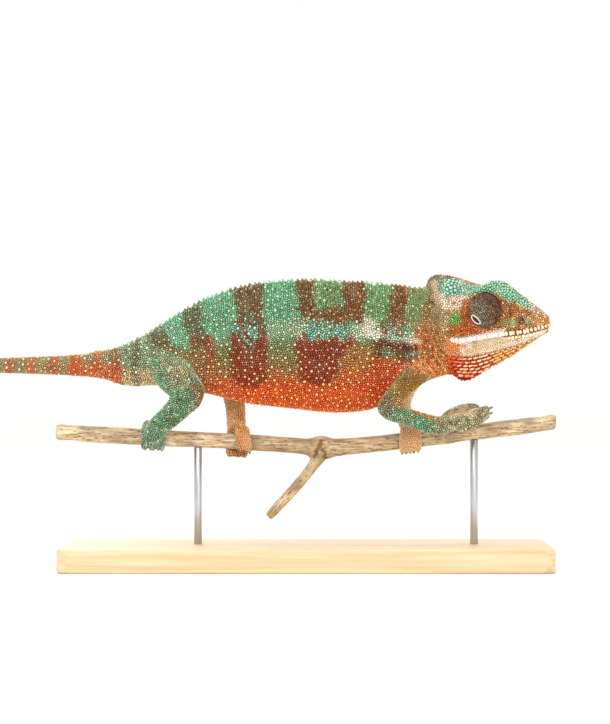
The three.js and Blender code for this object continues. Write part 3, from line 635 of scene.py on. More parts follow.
RED_BELOW = (
    ("#9c4e24", ((-59, 117), (-54.5, 116), (-54, 108), (-56, 104)), 0.6),
    ("#9c481c", ((-52, 116), (-46, 115), (-45, 105), (-45, 99), (-48, 98), (-51, 104)), 0.75),
    (BRICK, ((-37.5, 117), (-20, 117), (-20, 104), (-19, 95), (-24, 90), (-36, 91), (-38, 104)), 0.9),
    ("#6d6055", ((-32, 113), (-26, 112), (-25, 103), (-28, 98), (-31, 103)), 0.6),
    (BRICK, ((-6, 116), (20, 117), (25, 114), (17, 106), (15, 97), (10, 91), (-2, 93), (-5, 104)), 0.95),
    ("#72594a", ((3, 104.5), (8, 104), (8.5, 98), (3, 98)), 0.55),
    (BLOOD, ((33, 115), (38, 114), (37.5, 106), (36, 97), (32.5, 98), (33, 106)), 0.8),
    (BLOOD, ((35, 114), (56, 113.3), (57, 110), (36, 109.6)), 1),
    (BRICK, ((36, 121.5), (42, 121.5), (50, 117.5), (37, 116.5)), 0.9),
    (OXBLOOD, ((40, 111.4), (58, 111), (59, 104), (46, 102)), 0.85),
    ("#cc4a0a", ((31, 105), (47, 104), (51, 97), (46, 86), (31, 85)), 0.75),
)
STRIPE = (
    ("#c9d3b4", ((-6, 122), (0.5, 123), (0.5, 116), (-6, 115.5)), 0.6),
    (TURQUOISE, ((-1, 121.5), (5, 123.3), (9, 121.2), (13, 122.6), (16, 121), (18.5, 122.3), (24, 120.8),
                 (24, 116), (17, 115), (8, 114.6), (0, 115.5)), 0.95),
    (CYAN, ((0, 119), (4.4, 119.2), (4.4, 114.6), (0.4, 114.4)), 1),
    (CYAN, ((6, 119.5), (9, 119.7), (9, 117), (6, 117)), 0.45),
    (CYAN, ((14, 119.6), (18, 119.8), (18, 116.6), (14, 116.4)), 0.45),
    (CREAM, ((23, 119.5), (30, 119.3), (30, 114.5), (24, 114.6)), 0.6),
    (BONE, ((27.5, 124), (31.5, 124.2), (36, 120), (39, 117.4), (38, 114.6), (31, 115), (28, 118.5)), 0.95),
    ("#a9c9ae", ((37, 117.6), (46, 117.2), (54, 115.2), (60.5, 111.3), (57, 111.8), (47, 112.8),
                 (37, 114)), 0.95),
    ("#e0e0c8", ((50, 116.2), (56, 114.6), (61, 111.2), (57, 111.6), (50, 113)), 0.8),
    ("#86b7a0", ((39.6, 122.4), (41.4, 122.4), (44.6, 117), (42.4, 116)), 0.85),
)
SPOTS = (  # colour, middle, half width, half height, strength
    ("#c5d7b6", (1, 124.6), 1.1, 0.9, 0.9), ("#5f9f96", (4, 120), 1.1, 1.0, 0.8),
    ("#9cc6a6", (4, 113.5), 1.0, 0.8, 0.8), ("#9cc6a6", (-0.5, 111.5), 0.9, 0.8, 0.8),
    ("#8ab49a", (13, 108.5), 1.0, 0.8, 0.7), ("#9cc6a6", (18, 113), 1.0, 0.8, 0.8),
    ("#9cc6a6", (22.5, 124), 1.0, 0.8, 0.8), ("#7fb28f", (47, 120), 1.5, 1.1, 0.8),
    ("#c9cfae", (46, 122.3), 0.9, 0.7, 0.8), ("#c9cfae", (51, 121), 0.9, 0.7, 0.8),
    ("#66705e", (39, 107.5), 2.2, 2.6, 0.6),
)
NECK_SPOTS = (
    ("#5a1000", (49.5, 110.2), 6.0, 1.0, 0.85), ("#3f6658", (51.5, 106.4), 4.2, 2.2, 0.7),
    ("#8dbaa6", (53.5, 107.5), 1.6, 1.0, 0.8), ("#e9e3cd", (54.5, 113.4), 3.2, 0.9, 0.8),
    ("#c79a86", (50, 99.5), 3, 3, 0.25),
)
STREAKS = (  # colour, line, half width, strength
    ("#77bca8", ((-36, 119.5), (-30, 115), (-27, 112)), 1.0, 0.9),
    ("#80d0b8", ((-30, 121.5), (-25, 115.5)), 1.1, 0.95),
    ("#77bca8", ((-26.5, 124.5), (-24, 120.5)), 0.7, 0.8),
    ("#7d4a2c", ((-34, 138), (-33.4, 128)), 0.5, 0.6), ("#7d4a2c", ((-30, 140), (-29.6, 127)), 0.5, 0.6),
    ("#7d4a2c", ((-26, 141), (-26, 128)), 0.5, 0.6), ("#8a4a2a", ((-25, 131), (-22.5, 122)), 0.9, 0.7),
    ("#8a4a2a", ((-35, 125), (-31, 122)), 1.0, 0.7), ("#8a4327", ((2.6, 131), (4.4, 125)), 1.0, 0.7),
    ("#7c3a1c", ((47, 143), (45, 128), (44, 121)), 0.7, 0.6),
    ("#7c3a1c", ((22, 145), (22.6, 130)), 0.6, 0.5), ("#7c3a1c", ((26.5, 145), (26.5, 128)), 0.6, 0.5),
    ("#8a4a2c", ((-68, 110), (-60, 103), (-53, 94)), 1.1, 0.8),
    ("#b4512a", ((52, 121.5), (60, 114)), 0.9, 0.7),
)
TAIL_BANDS = (  # colour, middle x, half width, strength
    ("#6a6446", -85, 1.7, 0.75), ("#8d5f42", -95.5, 2.0, 0.8), ("#cf6a3a", -104.6, 2.1, 0.85),
    ("#cf5f30", -115.2, 2.9, 0.9),
)
HEAD_FIELDS = (
    ("#ab9a7c", ((61, 146), (66.5, 146), (68.5, 134), (70.5, 120), (65, 117), (61, 124), (61, 134)), 0.9),
    ("#cdb29a", ((65, 137), (83, 139), (80.5, 129.5), (69, 129)), 0.9),
    ("#b98c86", ((70, 134.6), (78, 135), (77, 130), (70, 130)), 0.45),
    ("#d6c8ac", ((61.8, 146.4), (66, 146.2), (70.5, 137), (70, 130.5), (64.6, 131), (62.4, 138)), 0.85),
    ("#6a9c84", ((65.4, 145.3), (75, 145), (80, 141.5), (87.5, 140.5), (87, 137.6), (77, 135.6),
                 (70, 135.2), (66, 137.6)), 1),
    ("#7a6c57", ((60, 148), (76, 149), (89, 142), (88, 139.8), (80, 142), (74, 144.3), (66.5, 144.8),
                 (62.4, 143.6), (61.6, 137), (58, 137)), 0.85),
    ("#8fa05e", ((68.5, 127.4), (77.6, 127.6), (77.6, 120), (69.5, 120)), 0.6),
    ("#60a848", ((70.4, 125.6), (73, 127), (76.4, 126.2), (77, 122.4), (74, 121), (71, 122)), 0.9),
    ("#aa4e10", ((77.5, 133.5), (81.5, 133), (82, 124), (86, 117.4), (77, 115.6), (77, 124)), 0.9),
    ("#a85f04", ((71, 121), (77, 121.4), (78, 116), (71.5, 115.6)), 0.95),
    ("#6ea684", ((86.5, 141), (90, 143.6), (97, 144), (103, 140), (108, 136.4), (113.5, 131.8),
                 (112.6, 129.4), (105, 131.6), (100, 133.6), (95, 136), (87, 137.8)), 1),
    ("#8d9a80", ((90, 148), (99, 147), (106, 141), (112, 134.6), (110.4, 133.4), (104, 139.4),
                 (97, 143.4)), 0.7),
    ("#cbb59d", ((108, 137.4), (115, 133), (122, 129), (122, 125.6), (113, 127), (113.2, 130.4),
                 (110.4, 134)), 0.9),
    ("#a5682e", ((96.5, 135), (106, 131), (108, 126.6), (98, 124.5), (96, 129)), 0.8),
    ("#a89a52", ((94, 124.6), (101, 124.6), (101, 119.6), (94, 119)), 0.7),
    ("#86a763", ((99.6, 124), (105, 124.2), (104.6, 120), (99.6, 119.6)), 0.8),
    ("#8aab66", ((108.6, 125.6), (112.8, 125.6), (112.4, 121.2), (108.8, 121)), 0.75),
    ("#7b5a50", ((105.8, 125.9), (109.4, 125.9), (109.4, 122.3), (105.8, 122.3)), 0.85),
    ("#cf9c5c", ((112.2, 126.8), (121.5, 125.8), (123.5, 121), (112.2, 120)), 0.9),
    ("#b0521c", ((82, 121.4), (86, 118.6), (92, 119.8), (98, 122.2), (97, 119.6), (90, 117.8),
                 (82, 116.8)), 0.8),
)
LIP_AND_JAW = (
    ("#f8ecca", ((79, 113), (90, 114.6), (100, 116), (109, 117.2), (122.6, 120.6), (118, 116.6),
                 (110, 113.2), (100, 110.2), (90, 107.6), (80, 105.8), (75.5, 106.8), (77, 110)), 1),
    ("#dccf98", ((83, 112.4), (96, 115), (98, 112.4), (92, 110), (83, 108)), 0.6),
    # A brown line along the mouth, between the pale roll and the jaw: painted shadow in the crease.
    ("#a8763e", ((78, 112.9), (90, 115.1), (100, 116.6), (100, 115.6), (90, 114), (79, 111.9)), 0.7),
    ("#ee9a60", ((68.8, 115.6), (71.8, 115.4), (75, 111.8), (80, 112.4), (79.4, 110.6), (76.5, 109),
                 (77, 106.4), (70, 106.6)), 0.85),
    ("#dc9a52", ((100.4, 115.9), (107.6, 116.6), (107.6, 114.2), (100.4, 113.4)), 0.75),
    ("#b07444", ((99, 119.2), (110, 120.2), (122.4, 122.4), (122.4, 120.4), (109, 116.9),
                 (99, 115.8)), 0.85),
    ("#ffffff", ((71.4, 114.2), (76.6, 114.8), (82.3, 116), (88, 117.2), (93.8, 118.7), (99.5, 119.6),
                 (99.5, 116), (90, 114.6), (84, 113.4), (80, 112.4), (76.4, 111.8), (73.4, 112.6)), 1),
)
LEG_BANDS = (
    ("#989672", ((-76, 108), (-58, 106), (-52, 96), (-60, 88), (-68, 92)), 0.65),
    ("#8b7a42", ((34, 84), (41, 93), (50, 103), (66, 103), (58, 88), (46, 79)), 0.9),
    ("#946038", ((-57.5, 91.5), (-49, 92), (-47.5, 82), (-55, 82)), 0.8),
    ("#57502f", ((-71, 78.6), (-66, 80.4), (-60.6, 76.5), (-62.6, 71), (-68.6, 71.6)), 0.8),
    ("#57502f", ((-64, 85.6), (-58.6, 87), (-56, 82), (-61.6, 80.6)), 0.7),
    ("#b09a86", ((-67, 62), (-61, 64), (-60, 56), (-66, 56)), 0.6),
    ("#9a6414", ((44, 91), (50, 97), (59, 97), (57, 90), (49, 84.5)), 0.75),
    ("#5f9f76", ((39, 80), (48, 79), (58, 75.5), (67, 73), (70, 68), (62, 64), (52, 68), (42, 73)), 0.5),
    ("#5fa57c", ((-73, 86), (-62, 91), (-54, 85), (-60, 76), (-72, 65), (-80, 66), (-80, 74)), 0.5),
    ("#6f9880", ((-88, 68), (-76, 72), (-71, 65), (-74, 56), (-88, 57)), 0.65),
    ("#85795f", ((35, 86), (41, 88), (45, 82), (42, 75.5), (36, 76)), 0.7),
    # Ochre along the top of the near forearm: partly its own colour, partly a painted highlight on its upper
    # edge.
    ("#b47c34", ((44, 86), (52, 84), (60, 80.6), (67, 77.6), (66, 74.6), (57, 76.6), (50, 79),
                 (44, 81)), 0.85),
    ("#a89c78", ((63.5, 78), (90, 80), (90, 66), (65, 65)), 0.65),
    ("#d6b08a", ((70, 81), (83, 81), (84, 76.6), (72, 75.6)), 0.7),
)


def mixed(first, second, share):
    """From the first colours, where share is 0, to the second, where it is 1."""
    return first * (1 - share[:, None]) + second * share[:, None]


def laid(base, colour, share):
    """The colours with another laid over them, each by its own share."""
    return mixed(base, np.array(linear(colour)), share)


def blended(low_colour, high_colour, share):
    """From the first colour, where share is 0, to the second, where it is 1."""
    return laid(np.array(linear(low_colour)), high_colour, share)


def painted(base, points, fields, line_fields=(), spots=(), still=None):
    """The colours with each field's colour laid over them inside its outline."""
    side = wobbled(points) if still is None else still
    for colour, outline, strength in fields:
        base = laid(base, colour, within(side, outline) * strength)
    for colour, line, half, strength in line_fields:
        gap, _ = from_line(side, line)
        base = laid(base, colour, steep(-gap, -half - 0.4, -half + 0.4) * strength)
    for colour, middle, wide, tall, strength in spots:
        gap = np.hypot((side[:, 0] - middle[0]) / wide, (side[:, 1] - middle[1]) / tall)
        base = laid(base, colour, steep(-gap, -1.25, -0.75) * strength)
    return base


def on_leg(node):
    """True where the point belongs to a leg."""
    return np.isin(node, [name for name in FLESH if name.startswith(LEGS)])


def trunk_colours(points, side, speckle):
    """Green and brown bars over a red and orange flank, crossed by the pale stripe."""
    x, z = side.T
    level = z + 2.2 * noise(points, 6, 11)
    body = blended(GREEN, OLIVE, steep(-level, -118, -110))
    body = laid(body, "#8c7c4c", steep(-level, -108, -100) * 0.7)
    body = laid(body, OCHRE, steep(x, 14, 20) * steep(-x, -40, -33) * steep(-level, -116, -104) * 0.9)
    body = laid(body, ORANGE, steep(-level, -101, -88))
    body = laid(body, "#b08050", steep(-x, 34, 52) * steep(-level, -112, -98) * 0.6)
    body = painted(body, points, BARS)
    glow = steep(-level, -105, -87)
    body = laid(body, "#cc4208", glow * (0.6 - 0.4 * steep(-x, 30, 46)))
    body = painted(body, points, RED_BELOW, STREAKS, SPOTS)
    body = laid(body, ORANGE, glow * steep(-level, -92, -84) * 0.7)
    slanted = np.stack([(x * 0.87 + z * 0.5) * 2.6, points[:, 1], (z * 0.87 - x * 0.5) * 0.6], 1)
    grain = noise(slanted, 4.2, 26)
    dark_bars = steep(body[:, 0] / np.maximum(body[:, 1], 1e-3), 0.95, 1.25) * steep(z, 104, 110)
    body = laid(body, "#58301a", steep(grain, 0.1, 0.5) * dark_bars * 0.5)
    body = laid(body, "#a08a6a", steep(-grain, 0.15, 0.6) * dark_bars * 0.45)
    body = painted(body, points, STRIPE)
    rows = 0.5 + 0.5 * np.cos(2 * math.pi * (z + 0.5 * noise(points, 5, 13)) / 2.3)
    low_flank = steep(-level, -118, -112) * steep(x, -60, -50) * steep(-x, -44, -36)
    body = laid(body, "#7a3a1c", low_flank * rows * 0.3)
    body = laid(body, "#56492c", steep(flank_fold(points, x), 0.1, 1) * steep(z, 116, 124) * 0.42)
    body = laid(body, "#5f4a2c", steep(speckle, 0.25, 0.7) * 0.4 * steep(z, 112, 118))
    return laid(body, "#b9ccab", steep(-speckle, 0.3, 0.8) * 0.35 * steep(z, 106, 114))


def tail_colours(side, speckle):
    """Olive and tan, ringed with orange and brown to the end of the curl."""
    x, z = side.T
    tail = blended("#86a27c", "#9c946a", steep(-x, 88, 100))
    tail = laid(tail, "#cfc095", steep(-z, -103, -95) * steep(x, -95, -88) * 0.85)
    for colour, middle, half, strength in TAIL_BANDS:
        tail = laid(tail, colour, steep(-np.abs(x - middle), -half - 0.9, -half + 0.9) * strength)
    tail = laid(tail, "#cd6535", steep(-z, -103.5, -99.5) * steep(-x, 89, 94) * steep(x, -126, -112) * 0.8)
    bands_behind = steep(np.cos(2 * math.pi * (x + 115.2) / 11), 0.0, 0.7) * steep(-x, 119, 121)
    tail = laid(tail, "#c4683c", bands_behind * steep(x, -160, -145) * 0.8)
    around_curl = np.arctan2(z - 84, x + 172)
    curl_bands = steep(np.cos(around_curl * 9), 0.0, 0.6)
    tail = laid(tail, "#8f8a5c", steep(-x, 150, 165) * (1 - curl_bands) * 0.8)
    tail = laid(tail, "#a4603a", steep(-x, 150, 165) * curl_bands * 0.7)
    tail = laid(tail, "#5b5a3a", steep(speckle, 0.3, 0.8) * 0.4)
    return laid(tail, "#c8d8b4", steep(-speckle, 0.3, 0.8) * 0.4)


def neck_colours(points, side):
    """Olive turning orange downwards, with dark slanting folds between rows of pale scales; the dark in the
    creases is partly painted shade.
    """
    neck = blended("#949058", "#c87e3a", steep(-side @ NECK_FOLD_WAY, -130.5, -119))
    neck = laid(neck, "#f49a58", steep(-side[:, 1], -109, -99))
    slant = neck_slant(points, side)
    creases = steep(np.cos(2 * math.pi * slant / (2 * NECK_FOLD_PITCH)), -0.9, 0.4)
    # Dark brown in the creases of the slanting folds: partly the skin's own colour, partly painted shade.
    neck = laid(neck, "#6a3416", (1 - creases) * 0.7)
    pale_rows = steep(-np.cos(2 * math.pi * slant / NECK_FOLD_PITCH), 0.2, 0.9)
    neck = laid(neck, "#dcbf8c", pale_rows * (0.35 + 0.25 * noise(points, 1.4, 15)))
    return painted(neck, points, BARS[-1:], STREAKS[-1:])


def head_colours(points, side):
    """Turquoise helmet and brow, red-brown cheek, cream lips and the red folds of the throat."""
    head = blended("#b07c44", "#bd9664", steep(noise(points, 4, 16), -0.5, 0.5))
    head = painted(head, points, HEAD_FIELDS)
    speck = steep(noise(points, 1.6, 17), 0.2, 0.7)
    head = laid(head, "#5f3a1e", speck * 0.5 * within(side, EYE_SURROUND))
    plain_cheek = within(side, CHEEK_OUTLINE, 1.0)
    head = laid(head, "#e3c7ab", steep(noise(points, 1.5, 18), 0.2, 0.7) * (0.35 - 0.25 * plain_cheek))
    still = points[:, [0, 2]] + 0.12 * np.stack([noise(points, 2, 20), noise(points, 2, 21)], 1)
    under_jaw = within(still, THROAT_OUTLINE, 0.5)
    head = mixed(head, blended("#c8460e", "#c9843e", steep(side[:, 0], 84, 100)), under_jaw)
    head = laid(head, "#c8420f", within(side, CHIN_OUTLINE, 1.2) * 0.8)
    head = painted(head, points, LIP_AND_JAW, still=still)
    jaw_area = within(still, JAW_OUTLINE, 0.8)
    head = laid(head, "#c2a468", steep(noise(points, 3.4, 29), 0.15, 0.7) * jaw_area * 0.5)
    return laid(head, "#fdf8ea", steep(-noise(points, 2.2, 29), 0.2, 0.8) * jaw_area * 0.6)


def leg_colours(points, normals, side, node):
    """Mottled green and olive outside, smooth pale tan inside and on the palms."""
    x, z = side.T
    leg = blended("#689c76", "#949c74", steep(noise(points, 5, 22), -0.4, 0.3))
    leg = painted(leg, points, LEG_BANDS)
    upper_arm = steep(x, 30, 36) * steep(z, 82, 86)
    pale_dots = steep(noise(points, 1.7, 23), 0.3, 0.75) * 0.6
    leg = laid(leg, "#c9dcc0", pale_dots * (1 - upper_arm))
    leg = laid(leg, "#c9b668", pale_dots * upper_arm * 0.8)
    leg = laid(leg, "#4f5a3a", steep(noise(points, 1.6, 24), 0.25, 0.7) * 0.5)
    on_hand = steep(x, 66, 72) * steep(-z, -84, -82) * steep(-points[:, 1], 2, 6)
    leg = laid(leg, "#5b4a34", steep(noise(points, 1.9, 27), 0.05, 0.4) * on_hand * 0.6)
    leg = laid(leg, "#d8cdb0", steep(noise(points, 1.7, 28), 0.2, 0.6) * on_hand * 0.6)
    left = np.isin(node, [name for name in FLESH if "_left_" in name])
    inward = np.where(left, -normals[:, 1] + 0.35, normals[:, 1])
    palm = np.char.startswith(node, "fore_left")
    inner_side = blended(TAN, "#c98f52", steep(noise(points * [1, 1, 0.4], 2.4, 25), -0.4, 0.5))
    leg = mixed(leg, inner_side, steep(inward, 0.1, 0.6) * 0.95)
    return laid(leg, "#f6dcb6", palm * (0.3 + 0.6 * steep(z, 72, 82)))


def markings(points, normals, owner):
    """The animal's colour, linear red, green and blue, at each point of the skin."""
    side = wobbled(points)
    x, z = side.T
    node = np.array(FLESH)[owner]
    speckle = noise(points, 1.5, 14)
    body = mixed(trunk_colours(points, side, speckle), tail_colours(side, speckle), steep(-x, 66, 78))
    body = laid(body, "#5f4f36", within(side, RUMP_OUTLINE, 1.0) * 0.75)
    at_neck = steep(x - 0.25 * (z - 120), 51, 59) * steep(z, 92, 97)
    body = mixed(body, neck_colours(points, side), at_neck)
    body = painted(body, points, (), (), NECK_SPOTS)
    at_head = steep(x + 0.2 * (z - 110), 67, 70.5) * steep(z, 90, 92)
    body = mixed(body, head_colours(points, side), at_head)
    hip = on_leg(node) * steep(np.maximum(108 - z, 0) + np.abs(points[:, 1]) - 9, 0, 4)
    shoulder = np.char.startswith(node, "fore") * steep(z + 0.3 * (x - 50), 96, 103)
    return mixed(body, leg_colours(points, normals, side, node), hip * (1 - shoulder))


skin_owner = owners_at(points)
skin_colours = markings(points, normals_of(skin.data), skin_owner)


def gap_colour_and_shade(colours, softness):
    """The darker skin in the gaps between scales of these colours, darkened further as painted shade in the
    grooves.
    """
    softness = softness[:, None]
    return colours ** 1.2 * (GAP_TINT * (1 - softness) + SOFT_GAP_TINT * softness)


def inner_leg(colours, node):
    """How far each point belongs to the smooth pale inner side of a leg."""
    return steep(colours.mean(1), 0.28, 0.4) * on_leg(node)


def paint(mesh, colours):
    """Stores linear colours, one for each of the mesh's points, for the materials to read."""
    shown = np.concatenate([np.clip(colours, 0, 1), np.ones((len(colours), 1))], 1)
    layer = mesh.attributes.new("paint", "FLOAT_COLOR", "POINT")
    layer.data.foreach_set("color", shown.astype(np.float32).ravel())


# The bare skin takes the gap colour, which carries painted shade between the scales.
inner = inner_leg(skin_colours, np.array(FLESH)[skin_owner])
paint(skin.data, gap_colour_and_shade(skin_colours, inner * 0.75))


def hide(name, roughness, grain_mm, relief_mm):
    """Living scaly skin: painted keratin, satin, with fine pits that break up the highlight."""
    material, tree, shader = finish_of(name)
    colour = add(tree, "ShaderNodeAttribute", attribute_name="paint").outputs["Color"]
    place = add(tree, "ShaderNodeTexCoord").outputs["Object"]
    grain = add(tree, "ShaderNodeTexNoise", {"Vector": place, "Scale": 1000 / grain_mm, "Detail": 3.0})
    tint = add(tree, "ShaderNodeMapRange", {"Value": grain.outputs["Fac"], "To Min": 0.82, "To Max": 1.18})
    shade = add(tree, "ShaderNodeVectorMath", {0: colour, 1: tint.outputs[0]}, operation="MULTIPLY")
    gloss = add(tree, "ShaderNodeMapRange", {"Value": grain.outputs["Fac"], "To Min": roughness - 0.08,
                                             "To Max": roughness + 0.08})
    relief = add(tree, "ShaderNodeBump", {"Height": grain.outputs["Fac"], "Strength": 0.35,
                                          "Distance": relief_mm * MM})
    feed(tree, shader, {"Base Color": shade.outputs[0], "Roughness": gloss.outputs[0],
                        "Normal": relief.outputs[0], "Specular IOR Level": 0.28})
    return material


# Bare skin between the scales: soft and matt, darker than the scales over it, partly its own tone and partly
# painted shade in the gaps.
skin.data.materials.clear()
skin.data.materials.append(hide("soft skin between scales", 0.62, 0.7, 0.15))
fit(skin, "scaly_skin_body", *FLESH)

# Scales. Small round granules of keratin cover the hide, packed edge to edge in rows, with larger
# pale-tipped tubercles set among them every few millimetres and flat plates on the helmet. Each is a
# closed dome that grows out of the skin and ends where it meets its neighbours.
GRANULE = 0.6
TUBERCLE_GAP, LEAST_SHARE = 2.75, 0.86  # the usual gap, and how much of it is always left
ROW_PITCH = 1.2
EYE_MIDDLE = np.array([88.9, 8.8, 129.0])
EYE_REACH = 8.6
HELMET = ((64.5, 146.5), (76, 146), (88, 142.5), (88, 137.4), (77, 135), (69, 134.8), (65, 136.6))
EYE_RIDGE = ((86, 143), (97, 146), (109, 138), (115, 131), (112.6, 128.4), (104, 130.4), (95, 135.4),
             (86.5, 137.6))
LABIAL_OUTLINE = ((98.6, 118.6), (110, 119.6), (121.6, 121.8), (121.6, 120), (109, 116.6), (98.6, 115.4))
AREA_EACH = 3.42  # skin for each scale, for a radius of 1
SETTLING_ROUNDS = 6
CROWDING = 1.03  # how far apart scales want to be, as a share of their two radii
FULL_STEP, LONGEST_STEP = 0.75, 0.6  # of the push, and of the radius, in one round
SMALLEST, LARGEST, GROOVE = 0.45, 1.3, 0.9  # a scale's reach for its radius, and its share that is not gap
draw = np.random.default_rng(11)


def on_lip_or_jaw(side):
    """True where the side position lies on the pale lips or the jaw."""
    return within(side, LIP_AND_JAW[0][1]) + within(side, LIP_AND_JAW[-1][1]) > 0.5


def scale_radius(points, node):
    """Half the width of the granules at each point, in millimetres."""
    x, _, z = points.T
    side = points[:, [0, 2]]
    radius = GRANULE - 0.06 * steep(z, 112, 120)
    in_stripe = sum(within(side, outline, 0.3) for _, outline, _ in STRIPE) > 0.5
    on_head = steep(x, 66, 69) * steep(z, 91, 93) > 0.5
    crown = 1.12 - 0.5 * steep(np.hypot((x - 73) / 1.25, z - 140), 2.2, 5.2)
    for chosen, size in ((in_stripe & (x < 62), 0.68), (on_head, 0.56),
                         (on_head & (x < 68) & (z > 130) & (z < 147), 0.68),
                         (on_head & on_lip_or_jaw(side), 0.46),
                         (on_head & (within(side, HEAD_FIELDS[1][1]) > 0.5), 0.66),
                         (on_head & (within(side, HELMET, 0.3) > 0.5), crown),
                         (on_head & (within(side, EYE_RIDGE, 0.3) > 0.5), 0.7),
                         ((x > 52) & (x <= 67) & (z > 91), 0.5),
                         (np.char.endswith(node, "toes"), 0.54), (np.isin(node, TAIL[1:]), 0.47)):
        radius = np.where(chosen, size, radius)
    return radius


skin.data.calc_loop_triangles()
triangle_corners = rows_of(skin.data.loop_triangles, "vertices", 3, np.int32)
triangle_loops = rows_of(skin.data.loop_triangles, "loops", 3, np.int32)
triangle_points = points[triangle_corners]
side_b, side_c = (triangle_points[:, k] - triangle_points[:, 0] for k in (1, 2))
triangle_area = np.linalg.norm(np.cross(side_b, side_c), axis=1) / 2
triangle_radius = scale_radius(triangle_points.mean(1), np.array(FLESH)[skin_owner[triangle_corners[:, 0]]])
share = np.cumsum(triangle_area / (AREA_EACH * triangle_radius ** 2))
site_count = int(share[-1])
picked = np.searchsorted(share, (np.arange(site_count) + draw.random(site_count)) * share[-1] / site_count)
picked = np.minimum(picked, len(share) - 1)
u, v = draw.random((2, site_count, 1))
u, v = np.where(u + v > 1, 1 - u, u), np.where(u + v > 1, 1 - v, v)
sites = triangle_points[picked, 0] + u * side_b[picked] + v * side_c[picked]
skin_tree = BVHTree.FromPolygons(points.tolist(), triangle_corners.tolist())


def settled(sites):
    """The sites moved to the skin, with its outward direction and its triangle there."""
    places, outward, triangles = zip(*(skin_tree.find_nearest(site)[:3] for site in sites.tolist()))
    return np.array(places), np.array(outward), np.array(triangles)


def neighbours(sites, count):
    """The nearest other sites of each site."""
    tree = KDTree(len(sites))
    for index, site in enumerate(sites.tolist()):
        tree.insert(site, index)
    tree.balance()
    return np.array([[found[1] for found in tree.find_n(site, count + 1)][1:] for site in sites.tolist()])


def spaced(sites, allowed, gap):
    """Which allowed sites to keep so that no two are nearer than gap, in the order they are drawn."""
    cells = {}
    kept = np.zeros(len(sites), bool)
    for index in draw.permutation(np.flatnonzero(allowed)):
        key = tuple((sites[index] // gap).astype(int))
        near = [other for step in itertools.product((-1, 0, 1), repeat=3)
                for other in cells.get(tuple(np.add(key, step)), ())]
        if all(np.linalg.norm(sites[index] - sites[other]) > gap for other in near):
            cells.setdefault(key, []).append(index)
            kept[index] = True
    return kept


sites, site_normals, site_triangles = settled(sites)
site_node = np.array(FLESH)[skin_owner[triangle_corners[site_triangles, 0]]]
radii = scale_radius(sites, site_node) * (0.88 + 0.24 * draw.random(len(sites)))
bumpy = np.isin(site_node, ["trunk", *TAIL[:2], *(name for name in FLESH
                                                  if name.endswith(("upper", "lower", "outer_toes")))])
bumpy |= (site_node == "neck") & (sites[:, 2] < 132)
tubercle = spaced(sites, bumpy, TUBERCLE_GAP * LEAST_SHARE)
radii[tubercle] = 0.62 + 0.4 * draw.random(tubercle.sum()) ** 2
radii[tubercle & (on_leg(site_node) | (site_node == "neck"))] *= 0.78
drift = 0.9 * np.stack([noise(sites, 9, 31), noise(sites, 9, 32)], 1)
in_columns = 0.4 * steep(sites[:, 2], 116, 122) * (site_node == "trunk")
in_rows = 0.35 * steep(-sites[:, 2], -114, -108) * (site_node == "trunk")
for _ in range(SETTLING_ROUNDS):
    near = neighbours(sites, 8)
    apart = sites[:, None] - sites[near]
    gap = np.linalg.norm(apart, axis=2)
    wanted = (radii[:, None] + radii[near]) * CROWDING
    push = np.maximum(wanted - gap, 0) * radii[near] / (radii[:, None] + radii[near])
    step = (apart / np.maximum(gap, 1e-6)[..., None] * push[..., None]).sum(1) * FULL_STEP
    length = np.linalg.norm(step, axis=1, keepdims=True)
    step *= np.minimum(1, LONGEST_STEP * radii[:, None] / np.maximum(length, 1e-6))
    for axis, pull in ((0, in_columns), (2, in_rows)):
        off = (sites[:, axis] + drift[:, axis // 2]) / ROW_PITCH
        step[:, axis] -= (off - np.round(off)) * ROW_PITCH * pull
    sites, site_normals, site_triangles = settled(sites + step)

side = sites[:, [0, 2]]
open_place = np.ones(len(sites), bool)
beside_mouth, _ = from_line(side, MOUTH_LINE)
in_front = (sites[:, 0] > 60) & (sites[:, 2] > 91)
open_place &= ~(in_front & (beside_mouth < 0.4) & (sites[:, 0] > 98))
throat_rows = within(side, (*GULAR_LINES[0], *GULAR_LINES[-1][::-1]), 0.3)
labials = within(side, LABIAL_OUTLINE, 0.2)
open_place &= ~(in_front & ((throat_rows + labials) * (np.abs(site_normals[:, 1]) > 0.3) > 0.5))
open_place &= np.hypot(side[:, 0] - NOSTRIL[0], side[:, 1] - NOSTRIL[1]) > 0.8
from_eye = np.linalg.norm(sites * [1, 0, 1] + np.abs(sites) * [0, 1, 0] - EYE_MIDDLE, axis=1)
open_place &= from_eye > EYE_REACH
sites, site_normals, site_triangles = sites[open_place], site_normals[open_place], site_triangles[open_place]
radii, tubercle = radii[open_place], tubercle[open_place]
site_owner = skin_owner[triangle_corners[site_triangles, 0]]
site_node = np.array(FLESH)[site_owner]
ragged = sites + np.where(sites[:, :1] < 62, 0.75, 0.3) * draw.standard_normal(sites.shape)
site_colours = np.clip(markings(ragged, site_normals, site_owner), 0, 1)

